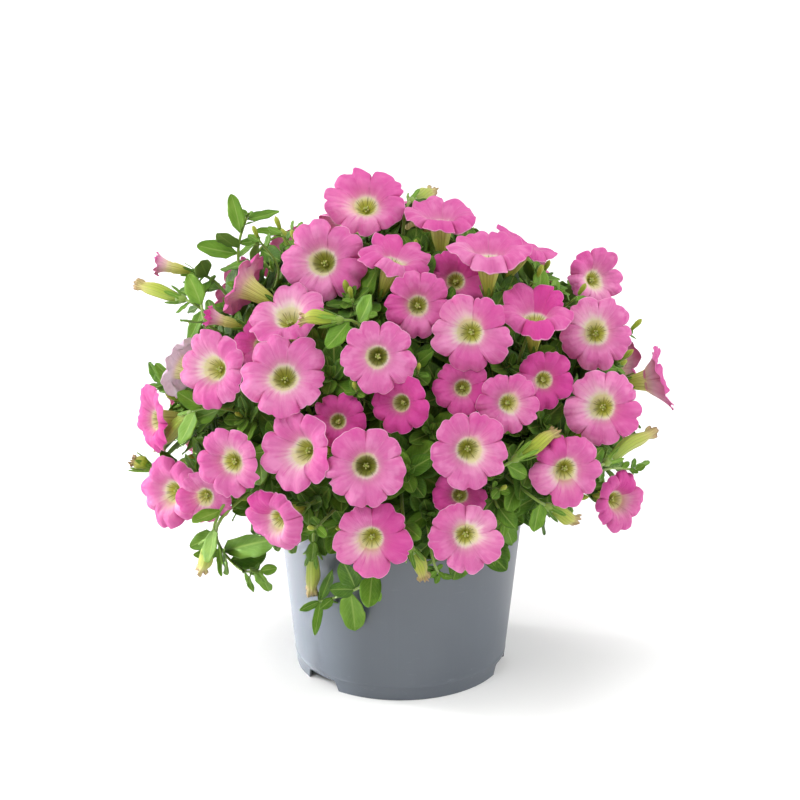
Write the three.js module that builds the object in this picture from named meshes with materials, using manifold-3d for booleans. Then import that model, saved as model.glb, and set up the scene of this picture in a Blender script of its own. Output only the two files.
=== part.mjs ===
// A petunia in full flower, standing in a plain plastic nursery pot.
// Millimetres, +Z up; the origin is on the floor on the pot's axis, and the photograph's viewer
// looks along +Y with +X to the right.

import * as THREE from "three";
import { mergeVertices } from "three/addons/utils/BufferGeometryUtils.js";
import Module from "manifold-3d";

const wasm = await Module();
wasm.setup();

// ---- Driving dimensions of the pot and its soil ---------------------------------------------

const potHeight = 145;
const footRadius = 79.8; // outside of the foot ring, on the floor
const sideSlope = 0.105; // how far the side leans out for each millimetre of height
const potWall = 1.7;
const lip = { proud: 1.6, tall: 4, slant: 0.6, inset: 0.2 }; // the rolled edge round the mouth
const floorUnder = 9.5; // the pot's floor is raised on its foot ring
const floorThick = 2;
const potFacets = 36;
// Gaps in the foot ring; inside, outside: how far their cut reaches from the ring's outer edge.
const notch = { tall: 8.5, halfAngle: 12.5, slant: 3, corner: 2, inside: 10, outside: 6 };
const notchTurns = [-15, -138, 103]; // degrees round the axis from +X
const drain = { count: 5, radius: 5, ring: 48, sides: 6 };
const soilTop = 130;
const soilCrown = 4; // the soil is heaped up a little towards its middle
const soilEdge = { drop: 3, inset: 6 }; // the soil's rounded edge along the pot
const gap = 0.35; // between pieces that touch

// ---- Driving dimensions of the plant --------------------------------------------------------

const mound = { middle: 205, wide: 195, deep: 182, tall: 165 }; // the skin that the blooms sit on
const flower = {
  across: 58, // a full bloom's width; others are scaled from it
  throat: 8,
  throatDepth: 4,
  pitDepth: 16,
  collar: 8.3, // the tube's radius where it spreads into the petals
  collarDepth: 8,
  tubeRadius: 5,
  tubeDepth: 32,
  petal: 0.9, // thickness
};
const calyx = { front: 33, radius: 5.6, sepalTip: 9.4, sepalFront: 21, back: 45 };
const mainStem = { radius: 2.6, sides: 4, steps: 6 };
const stemHole = { sides: 6, under: 1, clear: [0.9, 1.4] }; // clear: round the stem, at its foot and top
const twig = { radius: 1.25, sides: 3, steps: 2 };
const shootTwig = { radius: 1.25, sides: 3, steps: 5 };
// A leaf's shape in shares of its length; rooted: the volume of it that may be inside its own stem.
const leaf = { thick: 0.8, fold: 0.07, droop: 0.12, wave: 0.05, rooted: 4 };
const leafRib = 0.5; // where the fold is deepest
const leafSides = [[0.34, 1], [0.72, 0.68]]; // share of the length, share of the half width
const leafLength = [25, 36];
const leafHalf = [0.26, 0.33]; // half width against length
const goldenAngle = 137.5;
// How much a leaf leans along its stem and outwards, and how much it faces up.
const leafLean = { along: 0.5, outward: 0.35, up: 0.4, below: 30 };
const rimClear = potHeight + 25; // a twig that ends below this height is bent up over the rim
const twigLeafPlaces = [0.7]; // along a twig, from its stem to its flower
const stemLeafPlaces = [0.99, 0.84];
const spentScale = 0.8; // a spent flower's calyx against an open one's
// The share of a stem at which its twigs fork off, for places from the lowest height to the highest.
const fork = { first: 0.4, last: 0.96, arching: [130, 320], upright: [250, 360] };
// How a twig bends: shares of its span, and of the height that it lacks over the pot's rim.
const bend = { outward: 0.25, up: 0.22, into: 0.32, overRim: [0.6, 1.3], shoot: 0.6, shootUp: 8 };
// First numbers of the rows of draws, and how far apart they are from one piece to the next.
const seeds = {
  spin: [1000, 37],
  petals: [5000, 91],
  group: [300, 17],
  twigLeaf: 7,
  stemLeaf: 900,
  shootLeaf: [7000, 97, 13],
  spent: 200,
};
const colours = { pot: 0x77818c, soil: 0x2b2019, petal: 0xdd78b0, green: 0x4f7f30 };
const roughness = { pot: 0.45, soil: 0.95, petal: 0.6, green: 0.65 };

// ---- Where the photograph was taken from ----------------------------------------------------

// The plant is placed by the photograph: a pixel (x, y) of its 800 x 800 frame gives a sight line,
// and a place is where that line meets the mound's skin, or a smaller copy of it.
const view = { distance: 2300, elevation: 20.7813, focal: 3067.3, aim: 210.865 };
view.centre = [400.5, 400];

const radians = THREE.MathUtils.degToRad;
const rise = radians(view.elevation);
const viewRight = new THREE.Vector3(1, 0, 0);
const viewUp = new THREE.Vector3(0, Math.sin(rise), Math.cos(rise));
const viewAhead = new THREE.Vector3(0, Math.cos(rise), -Math.sin(rise));
const eye = new THREE.Vector3(0, 0, view.aim).addScaledVector(viewAhead, -view.distance);
const upward = new THREE.Vector3(0, 0, 1);

// ---- The open blooms ------------------------------------------------------------------------

// seen: the pixel that the middle of the face covers. layer: 1 on the mound's skin, less inside.
// faces: the way it looks, as degrees round from the viewer towards +X, and degrees above level.
// across: its width. open: less than 1 for a bloom that is opening or closing.
// curl: how far the petals' edge is bent back.
const blooms = [
  { seen: [366, 199], layer: 1.02, faces: [0, 52], across: 60 },
  { seen: [322, 259], layer: 0.96, faces: [-8, 30], across: 63 },
  { seen: [398, 254], layer: 0.96, faces: [70, 68], across: 52, curl: 5 },
  { seen: [284, 311], layer: 0.95, faces: [-35, 58], across: 59 },
  { seen: [240, 283], layer: 0.95, faces: [-115, 22], across: 50 },
  { seen: [162, 265], layer: 1.0, faces: [-95, 12], across: 36, open: 0.5 },
  { seen: [214, 318], layer: 0.97, faces: [-80, 20], across: 34, open: 0.5 },
  { seen: [210, 369], layer: 1.02, faces: [-32, 18], across: 57 },
  { seen: [283, 373], layer: 1.01, faces: [-5, 38], across: 63 },
  { seen: [174, 365], layer: 0.95, faces: [-112, 15], across: 46 },
  { seen: [147, 420], layer: 1.0, faces: [-60, 10], across: 52 },
  { seen: [258, 343], layer: 0.87, faces: [-25, 30], across: 40 },
  { seen: [441, 212], layer: 0.99, faces: [0, 87], across: 53, curl: 6 },
  { seen: [489, 243], layer: 1.06, faces: [5, 87], across: 59, curl: 6 },
  { seen: [527, 240], layer: 0.95, faces: [100, 62], across: 50, curl: 3 },
  { seen: [456, 279], layer: 0.82, faces: [0, 30], across: 46 },
  { seen: [418, 304], layer: 0.94, faces: [0, 25], across: 49 },
  { seen: [470, 333], layer: 1.0, faces: [-6, 16], across: 58 },
  { seen: [378, 357], layer: 1.0, faces: [0, 18], across: 53 },
  { seen: [536, 308], layer: 1.0, faces: [8, 78], across: 54, curl: 5 },
  { seen: [598, 277], layer: 0.96, faces: [32, 30], across: 46 },
  { seen: [598, 333], layer: 1.02, faces: [5, 20], across: 55 },
  { seen: [664, 378], layer: 1.03, faces: [86, 10], across: 50 },
  { seen: [603, 408], layer: 1.02, faces: [-5, 18], across: 56 },
  { seen: [546, 380], layer: 0.92, faces: [12, 18], across: 44 },
  { seen: [463, 387], layer: 0.88, faces: [0, 25], across: 42 },
  { seen: [508, 403], layer: 0.98, faces: [0, 20], across: 44 },
  { seen: [398, 403], layer: 0.91, faces: [-22, 18], across: 45 },
  { seen: [469, 451], layer: 1.02, faces: [4, 14], across: 57 },
  { seen: [568, 471], layer: 1.02, faces: [10, 12], across: 55 },
  { seen: [621, 501], layer: 1.0, faces: [38, 10], across: 46 },
  { seen: [465, 539], layer: 1.02, faces: [-2, 6], across: 54 },
  { seen: [460, 493], layer: 0.88, faces: [0, 35], across: 40 },
  { seen: [366, 467], layer: 1.02, faces: [0, 18], across: 58 },
  { seen: [372, 541], layer: 1.0, faces: [0, 8], across: 56 },
  { seen: [296, 450], layer: 0.98, faces: [-40, 18], across: 60 },
  { seen: [338, 420], layer: 0.9, faces: [0, 28], across: 40 },
  { seen: [227, 463], layer: 1.02, faces: [-26, 14], across: 53 },
  { seen: [203, 498], layer: 0.95, faces: [-15, 10], across: 42 },
  { seen: [165, 492], layer: 1.0, faces: [-42, 14], across: 56 },
  { seen: [270, 523], layer: 1.0, faces: [-44, -4], across: 50 },
];

// The far side, which the photograph doesn't show: groups of blooms whose petals touch.
// turn: degrees round from the viewer towards +X. level: degrees above the mound's middle.
const bloomGroups = [
  { turn: 124, level: -8, layer: 0.97, roll: 45, count: 4 },
  { turn: 161, level: -13, layer: 1.01, roll: 60, count: 3 },
  { turn: -165, level: -9, layer: 1.01, roll: 0, count: 3 },
  { turn: -130, level: -12, layer: 0.98, roll: 40, count: 4 },
  { turn: 148, level: 27, layer: 0.88, roll: 30, count: 3 },
  { turn: -174, level: 30, layer: 0.97, roll: 60, count: 4 },
  { turn: -136, level: 27, layer: 0.88, roll: 10, count: 3 },
  { turn: 176, level: 64, layer: 0.89, roll: 20, count: 3 },
];
// apart: between the middles of neighbours. spread: degrees that each leans away from the middle.
const group = { apart: 51, spread: 12, across: 58, sizes: 2, jitter: 0.06, most: 4 };

// ---- Spent flowers, closed into tubes -------------------------------------------------------

const spentFlowers = [
  { from: [186, 300], to: [138, 284], layer: 0.98 },
  { from: [193, 412], to: [160, 448], layer: 0.94 },
  { from: [410, 202], to: [432, 191], layer: 0.98 },
  { from: [156, 470], to: [132, 461], layer: 0.9 },
  { from: [512, 461], to: [556, 431], layer: 0.96 },
  { from: [604, 464], to: [653, 432], layer: 1.0 },
  { from: [313, 550], to: [312, 592], layer: 0.84 },
  { from: [409, 545], to: [424, 577], layer: 0.88 },
  { from: [212, 538], to: [202, 571], layer: 0.98 },
  { from: [344, 320], to: [301, 319], layer: 1.02, sway: -25 },
  { from: [545, 505], to: [575, 521], layer: 0.95 },
];
const spentTube = { start: 6, base: 2.4, belly: 5.8, mouth: 4.4 }; // it starts inside its calyx

// ---- Leafy shoots that stand out of the mound -----------------------------------------------

// route: pixels along the shoot. leaves: [root pixel, tip pixel, width in pixels].
const shoots = [
  {
    route: [[239, 268], [239, 243], [247, 216]],
    layer: 0.88,
    leaves: [
      [[240, 234], [229, 195], 14],
      [[247, 216], [278, 208], 10],
      [[247, 216], [262, 195], 6],
      [[246, 217], [261, 223], 8],
      [[238, 254], [198, 243], 17],
      [[240, 243], [257, 239], 9],
      [[239, 245], [227, 238], 6],
    ],
  },
  {
    route: [[252, 268], [255, 256], [270, 240], [299, 229]],
    layer: 0.86,
    leaves: [
      [[257, 252], [276, 256], 16],
      [[288, 232], [256, 228], 9],
      [[290, 231], [274, 249], 9],
    ],
  },
  {
    route: [[206, 322], [201, 302], [196, 284]],
    layer: 0.94,
    leaves: [
      [[196, 285], [194, 268], 6],
      [[199, 292], [176, 290], 9],
      [[200, 298], [211, 270], 7],
      [[201, 303], [180, 309], 9],
      [[203, 311], [186, 341], 13],
    ],
  },
  { route: [[176, 384], [160, 384]], layer: 0.88, leaves: [[[162, 385], [147, 363], 10]] },
  {
    route: [[224, 515], [222, 550], [240, 569], [260, 571]],
    layer: 0.92,
    leaves: [
      [[222, 552], [194, 557], 10],
      [[223, 549], [263, 547], 22],
      [[258, 571], [229, 571], 10],
      [[259, 570], [267, 595], 14],
      [[246, 570], [251, 594], 6],
      [[222, 545], [219, 577], 6],
    ],
  },
  {
    route: [[372, 572], [350, 592], [317, 602]],
    layer: 0.88,
    leaves: [
      [[349, 592], [354, 637], 21],
      [[317, 602], [314, 635], 8],
      [[319, 602], [294, 587], 9],
      [[320, 601], [329, 579], 9],
      [[340, 596], [327, 581], 9],
      [[354, 588], [343, 567], 18],
      [[350, 592], [366, 601], 8],
      [[317, 602], [300, 612], 7],
    ],
  },
  {
    route: [[432, 556], [440, 576]],
    layer: 0.82,
    leaves: [
      [[440, 575], [465, 597], 14],
      [[439, 574], [444, 596], 7],
      [[438, 572], [424, 568], 7],
    ],
  },
  {
    route: [[497, 505], [506, 522]],
    layer: 0.9,
    leaves: [
      [[504, 517], [515, 548], 13],
      [[505, 520], [544, 515], 12],
      [[500, 511], [502, 552], 9],
      [[504, 514], [538, 498], 14],
      [[505, 521], [536, 534], 12],
    ],
  },
  {
    route: [[588, 472], [612, 468], [636, 470]],
    layer: 0.97,
    leaves: [
      [[606, 469], [626, 446], 11],
      [[610, 468], [627, 477], 9],
      [[636, 470], [656, 462], 7],
      [[635, 470], [653, 476], 6],
    ],
  },
  {
    route: [[536, 318], [542, 303], [556, 293]],
    layer: 0.92,
    leaves: [
      [[542, 304], [533, 281], 9],
      [[554, 295], [560, 276], 8],
    ],
  },
];

// ---- The leafy stems, each from its own hole in the soil ------------------------------------

// turn: degrees round from the viewer towards +X; a crown stem goes nearly straight up.
const stems = [
  { name: "leafy_stem_front", turn: 0 },
  { name: "leafy_stem_front_right", turn: 45 },
  { name: "leafy_stem_right", turn: 90 },
  { name: "leafy_stem_back_right", turn: 135 },
  { name: "leafy_stem_back", turn: 180 },
  { name: "leafy_stem_back_left", turn: 225 },
  { name: "leafy_stem_left", turn: 270 },
  { name: "leafy_stem_front_left", turn: 315 },
  { name: "leafy_stem_crown", turn: 180, crown: true },
];
const crownReach = 62; // a bloom whose calyx is nearer the axis than this grows on a crown stem
// Points along the two kinds of stem: distance from the axis and height.
const arching = [[42, soilTop - 16], [43, soilTop + 12], [54, 168], [84, 200], [112, 226]];
const upright = [[2, soilTop - 16], [2, soilTop + 20], [6, 190], [10, 240], [12, 292]];

// ---- Solids ---------------------------------------------------------------------------------

function closedGeometry(points, faces) {
  const geometry = new THREE.BufferGeometry();
  geometry.setAttribute("position", new THREE.Float32BufferAttribute(points.flat(), 3));
  geometry.setIndex(faces.flat());
  return geometry;
}

function solid(geometry) {
  const bare = new THREE.BufferGeometry();
  bare.setAttribute("position", geometry.getAttribute("position"));
  if (geometry.index) bare.setIndex(geometry.index);
  const merged = mergeVertices(bare, 1e-4);
  return new wasm.Manifold(
    new wasm.Mesh({
      numProp: 3,
      vertProperties: new Float32Array(merged.getAttribute("position").array),
      triVerts: new Uint32Array(merged.index.array),
    }),
  );
}

function geometryOf(body) {
  const mesh = body.getMesh();
  const geometry = new THREE.BufferGeometry();
  geometry.setAttribute("position", new THREE.BufferAttribute(mesh.vertProperties, 3));
  geometry.setIndex(new THREE.BufferAttribute(mesh.triVerts, 1));
  return geometry;
}

function joined(bodies) {
  return bodies.reduce((whole, body) => whole.add(body));
}

function meshOf(name, body, stuff) {
  const geometry = geometryOf(body);
  geometry.computeVertexNormals();
  const finish = { color: colours[stuff], roughness: roughness[stuff], metalness: 0 };
  const material = new THREE.MeshStandardMaterial({ ...finish, flatShading: true });
  const mesh = new THREE.Mesh(geometry, material);
  mesh.name = name;
  return mesh;
}

// The same row of draws for the same seed.
function drawsFrom(seed) {
  let state = seed;
  return (low, high) => {
    state = (state * 48271) % 2147483647;
    return low + ((high - low) * state) / 2147483647;
  };
}

// ---- Places and directions ------------------------------------------------------------------

// The unit vector that looks `turn` degrees round from the viewer and `level` degrees up.
function heading(turn, level) {
  const flat = Math.cos(radians(level));
  return new THREE.Vector3(
    flat * Math.sin(radians(turn)),
    -flat * Math.cos(radians(turn)),
    Math.sin(radians(level)),
  );
}

// Where the sight line through a pixel meets the mound's skin, or passes nearest to it.
function placeSeen([x, y], layer) {
  const ray = viewAhead
    .clone()
    .addScaledVector(viewRight, (x - view.centre[0]) / view.focal)
    .addScaledVector(viewUp, (view.centre[1] - y) / view.focal);
  const size = new THREE.Vector3(mound.wide, mound.deep, mound.tall).multiplyScalar(layer);
  const start = eye.clone().setZ(eye.z - mound.middle).divide(size);
  const along = ray.clone().divide(size);
  const a = along.dot(along);
  const b = start.dot(along);
  const inside = b * b - a * (start.dot(start) - 1);
  const reach = (-b - Math.sqrt(Math.max(inside, 0))) / a;
  return eye.clone().addScaledVector(ray, reach);
}

function placeOnMound(turn, level, layer) {
  const way = heading(turn, level);
  return new THREE.Vector3(
    way.x * mound.wide * layer,
    way.y * mound.deep * layer,
    way.z * mound.tall * layer + mound.middle,
  );
}

// A frame at a place with its Z along `axis`, turned by `spin` about it.
function frameAt(place, axis, spin, scale) {
  const side = new THREE.Vector3().crossVectors(upward, axis).normalize();
  const lift = new THREE.Vector3().crossVectors(axis, side);
  return new THREE.Matrix4()
    .makeBasis(side, lift, axis)
    .setPosition(place)
    .multiply(new THREE.Matrix4().makeRotationZ(spin))
    .multiply(new THREE.Matrix4().makeScale(scale, scale, scale));
}

// ---- Pot ------------------------------------------------------------------------------------

function sideRadius(z) {
  return footRadius + sideSlope * z;
}

function latheSolid(profile, facets) {
  const points = profile.map(([radius, height]) => new THREE.Vector2(radius, height));
  return solid(new THREE.LatheGeometry(points, facets).rotateX(Math.PI / 2));
}

function notchCutter(turn) {
  const half = footRadius * Math.sin(radians(notch.halfAngle));
  const shoulder = half - notch.slant;
  const bendAt = shoulder + notch.slant / 4;
  const under = notch.tall - notch.corner;
  const outline = new THREE.Shape()
    .moveTo(-half, -1)
    .lineTo(half, -1)
    .lineTo(bendAt, under)
    .quadraticCurveTo(shoulder, notch.tall, shoulder - notch.corner, notch.tall)
    .lineTo(-shoulder + notch.corner, notch.tall)
    .quadraticCurveTo(-shoulder, notch.tall, -bendAt, under)
    .closePath();
  const depth = notch.inside + notch.outside;
  return solid(
    new THREE.ExtrudeGeometry(outline, { depth, bevelEnabled: false, curveSegments: 2 })
      .rotateX(Math.PI / 2)
      .rotateZ(Math.PI / 2)
      .translate(footRadius - notch.inside, 0, 0)
      .rotateZ(radians(turn)),
  );
}

function drainCutter(index) {
  const round = (2 * Math.PI * (index + 0.5)) / drain.count;
  return solid(
    new THREE.CylinderGeometry(drain.radius, drain.radius, 4 * floorThick, drain.sides)
      .rotateX(Math.PI / 2)
      .translate(drain.ring * Math.cos(round), drain.ring * Math.sin(round), floorUnder),
  );
}

function potBody() {
  const floorTop = floorUnder + floorThick;
  const lipUnder = potHeight - lip.tall;
  const profile = [
    [0, floorUnder],
    [sideRadius(floorUnder) - potWall, floorUnder],
    [footRadius - potWall, 0],
    [footRadius, 0],
    [sideRadius(lipUnder), lipUnder],
    [sideRadius(lipUnder) + lip.proud, lipUnder + lip.slant],
    [sideRadius(lipUnder) + lip.proud, potHeight - lip.slant],
    [sideRadius(potHeight) - lip.inset, potHeight],
    [sideRadius(potHeight) - potWall, potHeight],
    [sideRadius(floorTop) - potWall, floorTop],
    [0, floorTop],
  ];
  let body = latheSolid(profile, potFacets);
  for (const turn of notchTurns) body = body.subtract(notchCutter(turn));
  for (let index = 0; index < drain.count; index++) body = body.subtract(drainCutter(index));
  return body;
}

// ---- Soil -----------------------------------------------------------------------------------

function stemHoleCutter(stem) {
  const [radius, depth] = (stem.crown ? upright : arching)[0];
  const way = heading(stem.turn, 0);
  const bottom = depth - stemHole.under;
  const tall = potHeight - bottom;
  const [foot, top] = stemHole.clear.map((clear) => mainStem.radius + clear);
  return solid(
    new THREE.CylinderGeometry(top, foot, tall, stemHole.sides)
      .rotateX(Math.PI / 2)
      .translate(way.x * radius, way.y * radius, bottom + tall / 2),
  );
}

function soilBody() {
  const bottom = floorUnder + floorThick + gap;
  const inside = (z) => sideRadius(z) - potWall - gap;
  const edge = soilTop - soilEdge.drop;
  const profile = [
    [0, bottom],
    [inside(bottom), bottom],
    [inside(edge), edge],
    [inside(soilTop) - soilEdge.inset, soilTop],
    [inside(soilTop) / 2, soilTop + soilCrown * 0.8],
    [0, soilTop + soilCrown],
  ];
  let body = latheSolid(profile, potFacets / 2);
  for (const stem of stems) body = body.subtract(stemHoleCutter(stem));
  return body;
}

// ---- Flowers --------------------------------------------------------------------------------

// Five joined lobes, each with a small dent in its middle, round a funnel that narrows to a tube.
const lobes = 5;
const rimSteps = 4; // points along one lobe's edge
const edgeReach = [0.8, 1, 0.88, 1]; // from the fold between lobes, over a shoulder, dent, shoulder
const edgeLift = [-1.6, 1, -0.3, 1];
const underSteps = 2; // the underside turns in at the folds and the dents only
const underReach = [0.77, 0.85];

function ring(count, radius, height, start = 0) {
  const points = [];
  for (let i = 0; i < count; i++) {
    const round = start + (2 * Math.PI * i) / count;
    points.push([radius(i) * Math.cos(round), radius(i) * Math.sin(round), height(i)]);
  }
  return points;
}

// The number of the first point of each ring, when the rings are put in one list.
function startsOf(rings) {
  let start = 0;
  return rings.map((points) => {
    const here = start;
    start += points.length;
    return here;
  });
}

// The band between two rings of `count` points.
function sleeveFaces(low, high, count) {
  const faces = [];
  for (let i = 0; i < count; i++) {
    const next = (i + 1) % count;
    faces.push([low + i, low + next, high + next], [low + i, high + next, high + i]);
  }
  return faces;
}

// The triangles of one lobe, between ring `inner` of five points and ring `rim` of `steps` a lobe.
function lobeFaces(inner, rim, steps) {
  const faces = [];
  for (let lobe = 0; lobe < lobes; lobe++) {
    const here = inner + lobe;
    const next = inner + ((lobe + 1) % lobes);
    const edge = (step) => rim + ((lobe * steps + step) % (lobes * steps));
    for (let step = 0; step < steps / 2; step++) faces.push([here, edge(step), edge(step + 1)]);
    faces.push([here, edge(steps / 2), next]);
    for (let step = steps / 2; step < steps; step++) faces.push([next, edge(step), edge(step + 1)]);
  }
  return faces;
}

// The petals' cut edge, between the rim and the underside's ring of half as many points.
function edgeFaces(rim, under) {
  const faces = [];
  for (let i = 0; i < lobes * underSteps; i++) {
    const low = under + i;
    const nextLow = under + ((i + 1) % (lobes * underSteps));
    const [first, middle, last] = [0, 1, 2].map((k) => rim + ((2 * i + k) % (lobes * rimSteps)));
    faces.push([first, low, middle], [middle, low, nextLow], [middle, nextLow, last]);
  }
  return faces;
}

function corollaGeometry(open, curl, draw) {
  const reach = (flower.across / 2) * open;
  const forward = (1 - open) * flower.across * 0.4 - curl;
  const sway = Array.from({ length: lobes * rimSteps }, () => draw(-0.9, 0.9));
  const lift = (i) => forward + edgeLift[i % rimSteps] + sway[i];
  const throat = flower.throat * (0.4 + 0.6 * open);
  const underRadius = (i) => reach * underReach[i % underSteps];
  const underLift = (i) => Math.min(lift(2 * i) * 0.85, 1) - flower.petal - 0.5;
  const rings = [
    ring(lobes * rimSteps, (i) => reach * edgeReach[i % rimSteps], lift),
    ring(lobes * underSteps, underRadius, underLift),
    ring(lobes, () => throat, () => -flower.throatDepth),
    ring(lobes, () => flower.collar, () => -flower.collarDepth),
    ring(lobes, () => flower.tubeRadius, () => -flower.tubeDepth),
    [[0, 0, -flower.pitDepth]],
  ];
  const [rim, under, mouth, collar, end, pit] = startsOf(rings);
  const faces = [
    ...lobeFaces(mouth, rim, rimSteps),
    ...lobeFaces(collar, under, underSteps).map(([a, b, c]) => [a, c, b]),
    ...edgeFaces(rim, under),
    ...sleeveFaces(end, collar, lobes),
  ];
  for (let i = 0; i < lobes; i++) {
    const next = (i + 1) % lobes;
    faces.push([pit, mouth + i, mouth + next]);
  }
  for (let i = 1; i < lobes - 1; i++) faces.push([end, end + i + 1, end + i]);
  return closedGeometry(rings.flat(), faces);
}

function corollaBody(bloom) {
  const geometry = corollaGeometry(bloom.open ?? 1, bloom.curl ?? 0, drawsFrom(bloom.seed));
  return solid(geometry.applyMatrix4(bloomFrame(bloom)));
}

function bloomFrame(bloom) {
  return frameAt(bloom.place, bloom.axis, bloom.spin, bloom.across / flower.across);
}

// A flower that has closed and hangs on as a soft tube along Z, from inside its calyx.
function spentGeometry(length) {
  const sections = [
    [spentTube.base, 0],
    [spentTube.belly, 0.62],
    [spentTube.mouth, 1],
  ];
  const rings = sections.map(([radius, along]) => ring(lobes, () => radius, () => along * length));
  const starts = startsOf(rings);
  const faces = [];
  for (let i = 1; i < rings.length; i++) {
    faces.push(...sleeveFaces(starts[i - 1], starts[i], lobes));
  }
  const end = starts.at(-1);
  for (let i = 1; i < lobes - 1; i++) faces.push([0, i + 1, i], [end, end + i, end + i + 1]);
  return closedGeometry(rings.flat(), faces);
}

// ---- Leaves and twigs -----------------------------------------------------------------------

// An ovate blade along X, folded along its rib, with a gently waved edge.
function leafGeometry(length, half, draw) {
  const wave = () => draw(-leaf.wave, leaf.wave) * length;
  const droop = leaf.droop * length;
  const [[low, lowWide], [high, highWide]] = leafSides;
  const top = [
    [leafRib * length, 0, -leaf.fold * length],
    [0, 0, 0],
    [low * length, -lowWide * half, wave()],
    [high * length, -highWide * half, wave() - droop / 2],
    [length, 0, -droop],
    [high * length, highWide * half, wave() - droop / 2],
    [low * length, lowWide * half, wave()],
  ];
  const under = top.length;
  const faces = [];
  for (let here = 1; here < under; here++) {
    const next = here === under - 1 ? 1 : here + 1;
    faces.push([0, here, next], [under, under + next, under + here]);
    faces.push([under + here, under + next, next], [under + here, next, here]);
  }
  return closedGeometry([...top, ...top.map(([x, y, z]) => [x, y, z - leaf.thick])], faces);
}

// A blade from its root towards `along`, its upper side towards `face`.
function leafBody({ root, along, face, length, half, seed }) {
  const across = new THREE.Vector3().crossVectors(face, along).normalize();
  const upper = new THREE.Vector3().crossVectors(along, across);
  const frame = new THREE.Matrix4().makeBasis(along, across, upper).setPosition(root);
  return solid(leafGeometry(length, half, drawsFrom(seed)).applyMatrix4(frame));
}

function stemBody(path, { radius, sides, steps }) {
  const corners = ring(sides, () => radius, () => 0);
  const section = new THREE.Shape(corners.map(([x, y]) => new THREE.Vector2(x, y)));
  return solid(
    new THREE.ExtrudeGeometry(section, { steps, bevelEnabled: false, extrudePath: path }),
  );
}

// ---- Where the flowers are ------------------------------------------------------------------

function bloomAt(place, axis, across, open, index) {
  const spin = drawsFrom(seeds.spin[0] + index * seeds.spin[1])(0, 2 * Math.PI);
  const root = place.clone().addScaledVector(axis, (-calyx.back * across) / flower.across);
  const seed = seeds.petals[0] + index * seeds.petals[1];
  return { place, axis, across, open, spin, root, seed };
}

function seenBlooms() {
  return blooms.map((row, index) => ({
    ...bloomAt(placeSeen(row.seen, row.layer), heading(...row.faces), row.across, row.open, index),
    name: "bloom_" + String(index + 1).padStart(2, "0"),
    sway: row.sway ?? 0,
  }));
}

// The blooms of one group stand on a ring round its middle and lean away from it.
function groupedBlooms(row, number) {
  const draw = drawsFrom(seeds.group[0] + number * seeds.group[1]);
  const middle = placeOnMound(row.turn, row.level, row.layer);
  const outward = heading(row.turn, row.level);
  const side = new THREE.Vector3().crossVectors(upward, outward).normalize();
  const lift = new THREE.Vector3().crossVectors(outward, side);
  const members = [];
  const reach = group.apart / 2 / Math.sin(Math.PI / row.count);
  for (let i = 0; i < row.count; i++) {
    const turned = radians(row.roll) + draw(-group.jitter, group.jitter);
    const round = (2 * Math.PI * i) / row.count + turned;
    const offset = side.clone().multiplyScalar(Math.cos(round));
    offset.addScaledVector(lift, Math.sin(round));
    const place = middle.clone().addScaledVector(offset, reach);
    const axis = outward.clone().addScaledVector(offset, Math.tan(radians(group.spread)));
    const across = group.across + draw(-group.sizes, group.sizes);
    const index = blooms.length + number * group.most + i;
    members.push({ ...bloomAt(place, axis.normalize(), across, 1, index), sway: 0 });
  }
  return members;
}

// ---- How the flowers and shoots are shared out among the stems ------------------------------

// The stem whose share of the plant a place is in.
function stemNear(place) {
  const fromAxis = Math.hypot(place.x, place.y);
  const turn = THREE.MathUtils.radToDeg(Math.atan2(place.x, -place.y));
  if (fromAxis < crownReach && place.z > mound.middle) {
    return stems.find((stem) => stem.crown);
  }
  const arches = stems.filter((stem) => !stem.crown);
  return arches[(Math.round((turn * arches.length) / 360) + arches.length) % arches.length];
}

function stemPath(stem) {
  const way = heading(stem.turn, 0);
  return new THREE.CatmullRomCurve3(
    (stem.crown ? upright : arching).map(
      ([radius, height]) => new THREE.Vector3(way.x * radius, way.y * radius, height),
    ),
  );
}

// The point of a stem that a twig to `place` leaves from: the higher the place, the further along.
function forkFor(stem, place) {
  const [lowest, highest] = stem.crown ? fork.upright : fork.arching;
  const share = THREE.MathUtils.clamp((place.z - lowest) / (highest - lowest), 0, 1);
  return stemPath(stem).getPoint(THREE.MathUtils.lerp(fork.first, fork.last, share));
}

// A twig that leaves its stem upwards and outwards and comes into `place` along `axis`. One that
// ends low is bent up over the pot's rim on its way.
function twigPath(stem, place, axis, sway) {
  const start = forkFor(stem, place);
  const span = place.distanceTo(start);
  const outward = new THREE.Vector3(place.x - start.x, place.y - start.y, 0);
  const sideways = new THREE.Vector3(-outward.y, outward.x, 0).normalize();
  const lack = Math.max(0, rimClear - place.z);
  const first = start.clone().addScaledVector(outward, bend.outward);
  first.addScaledVector(upward, span * bend.up + lack * bend.overRim[0]);
  first.addScaledVector(sideways, sway);
  const second = place.clone().addScaledVector(axis, -span * bend.into);
  second.addScaledVector(sideways, sway / 2).addScaledVector(upward, lack * bend.overRim[1]);
  return new THREE.CubicBezierCurve3(start, first, second, place);
}

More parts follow.
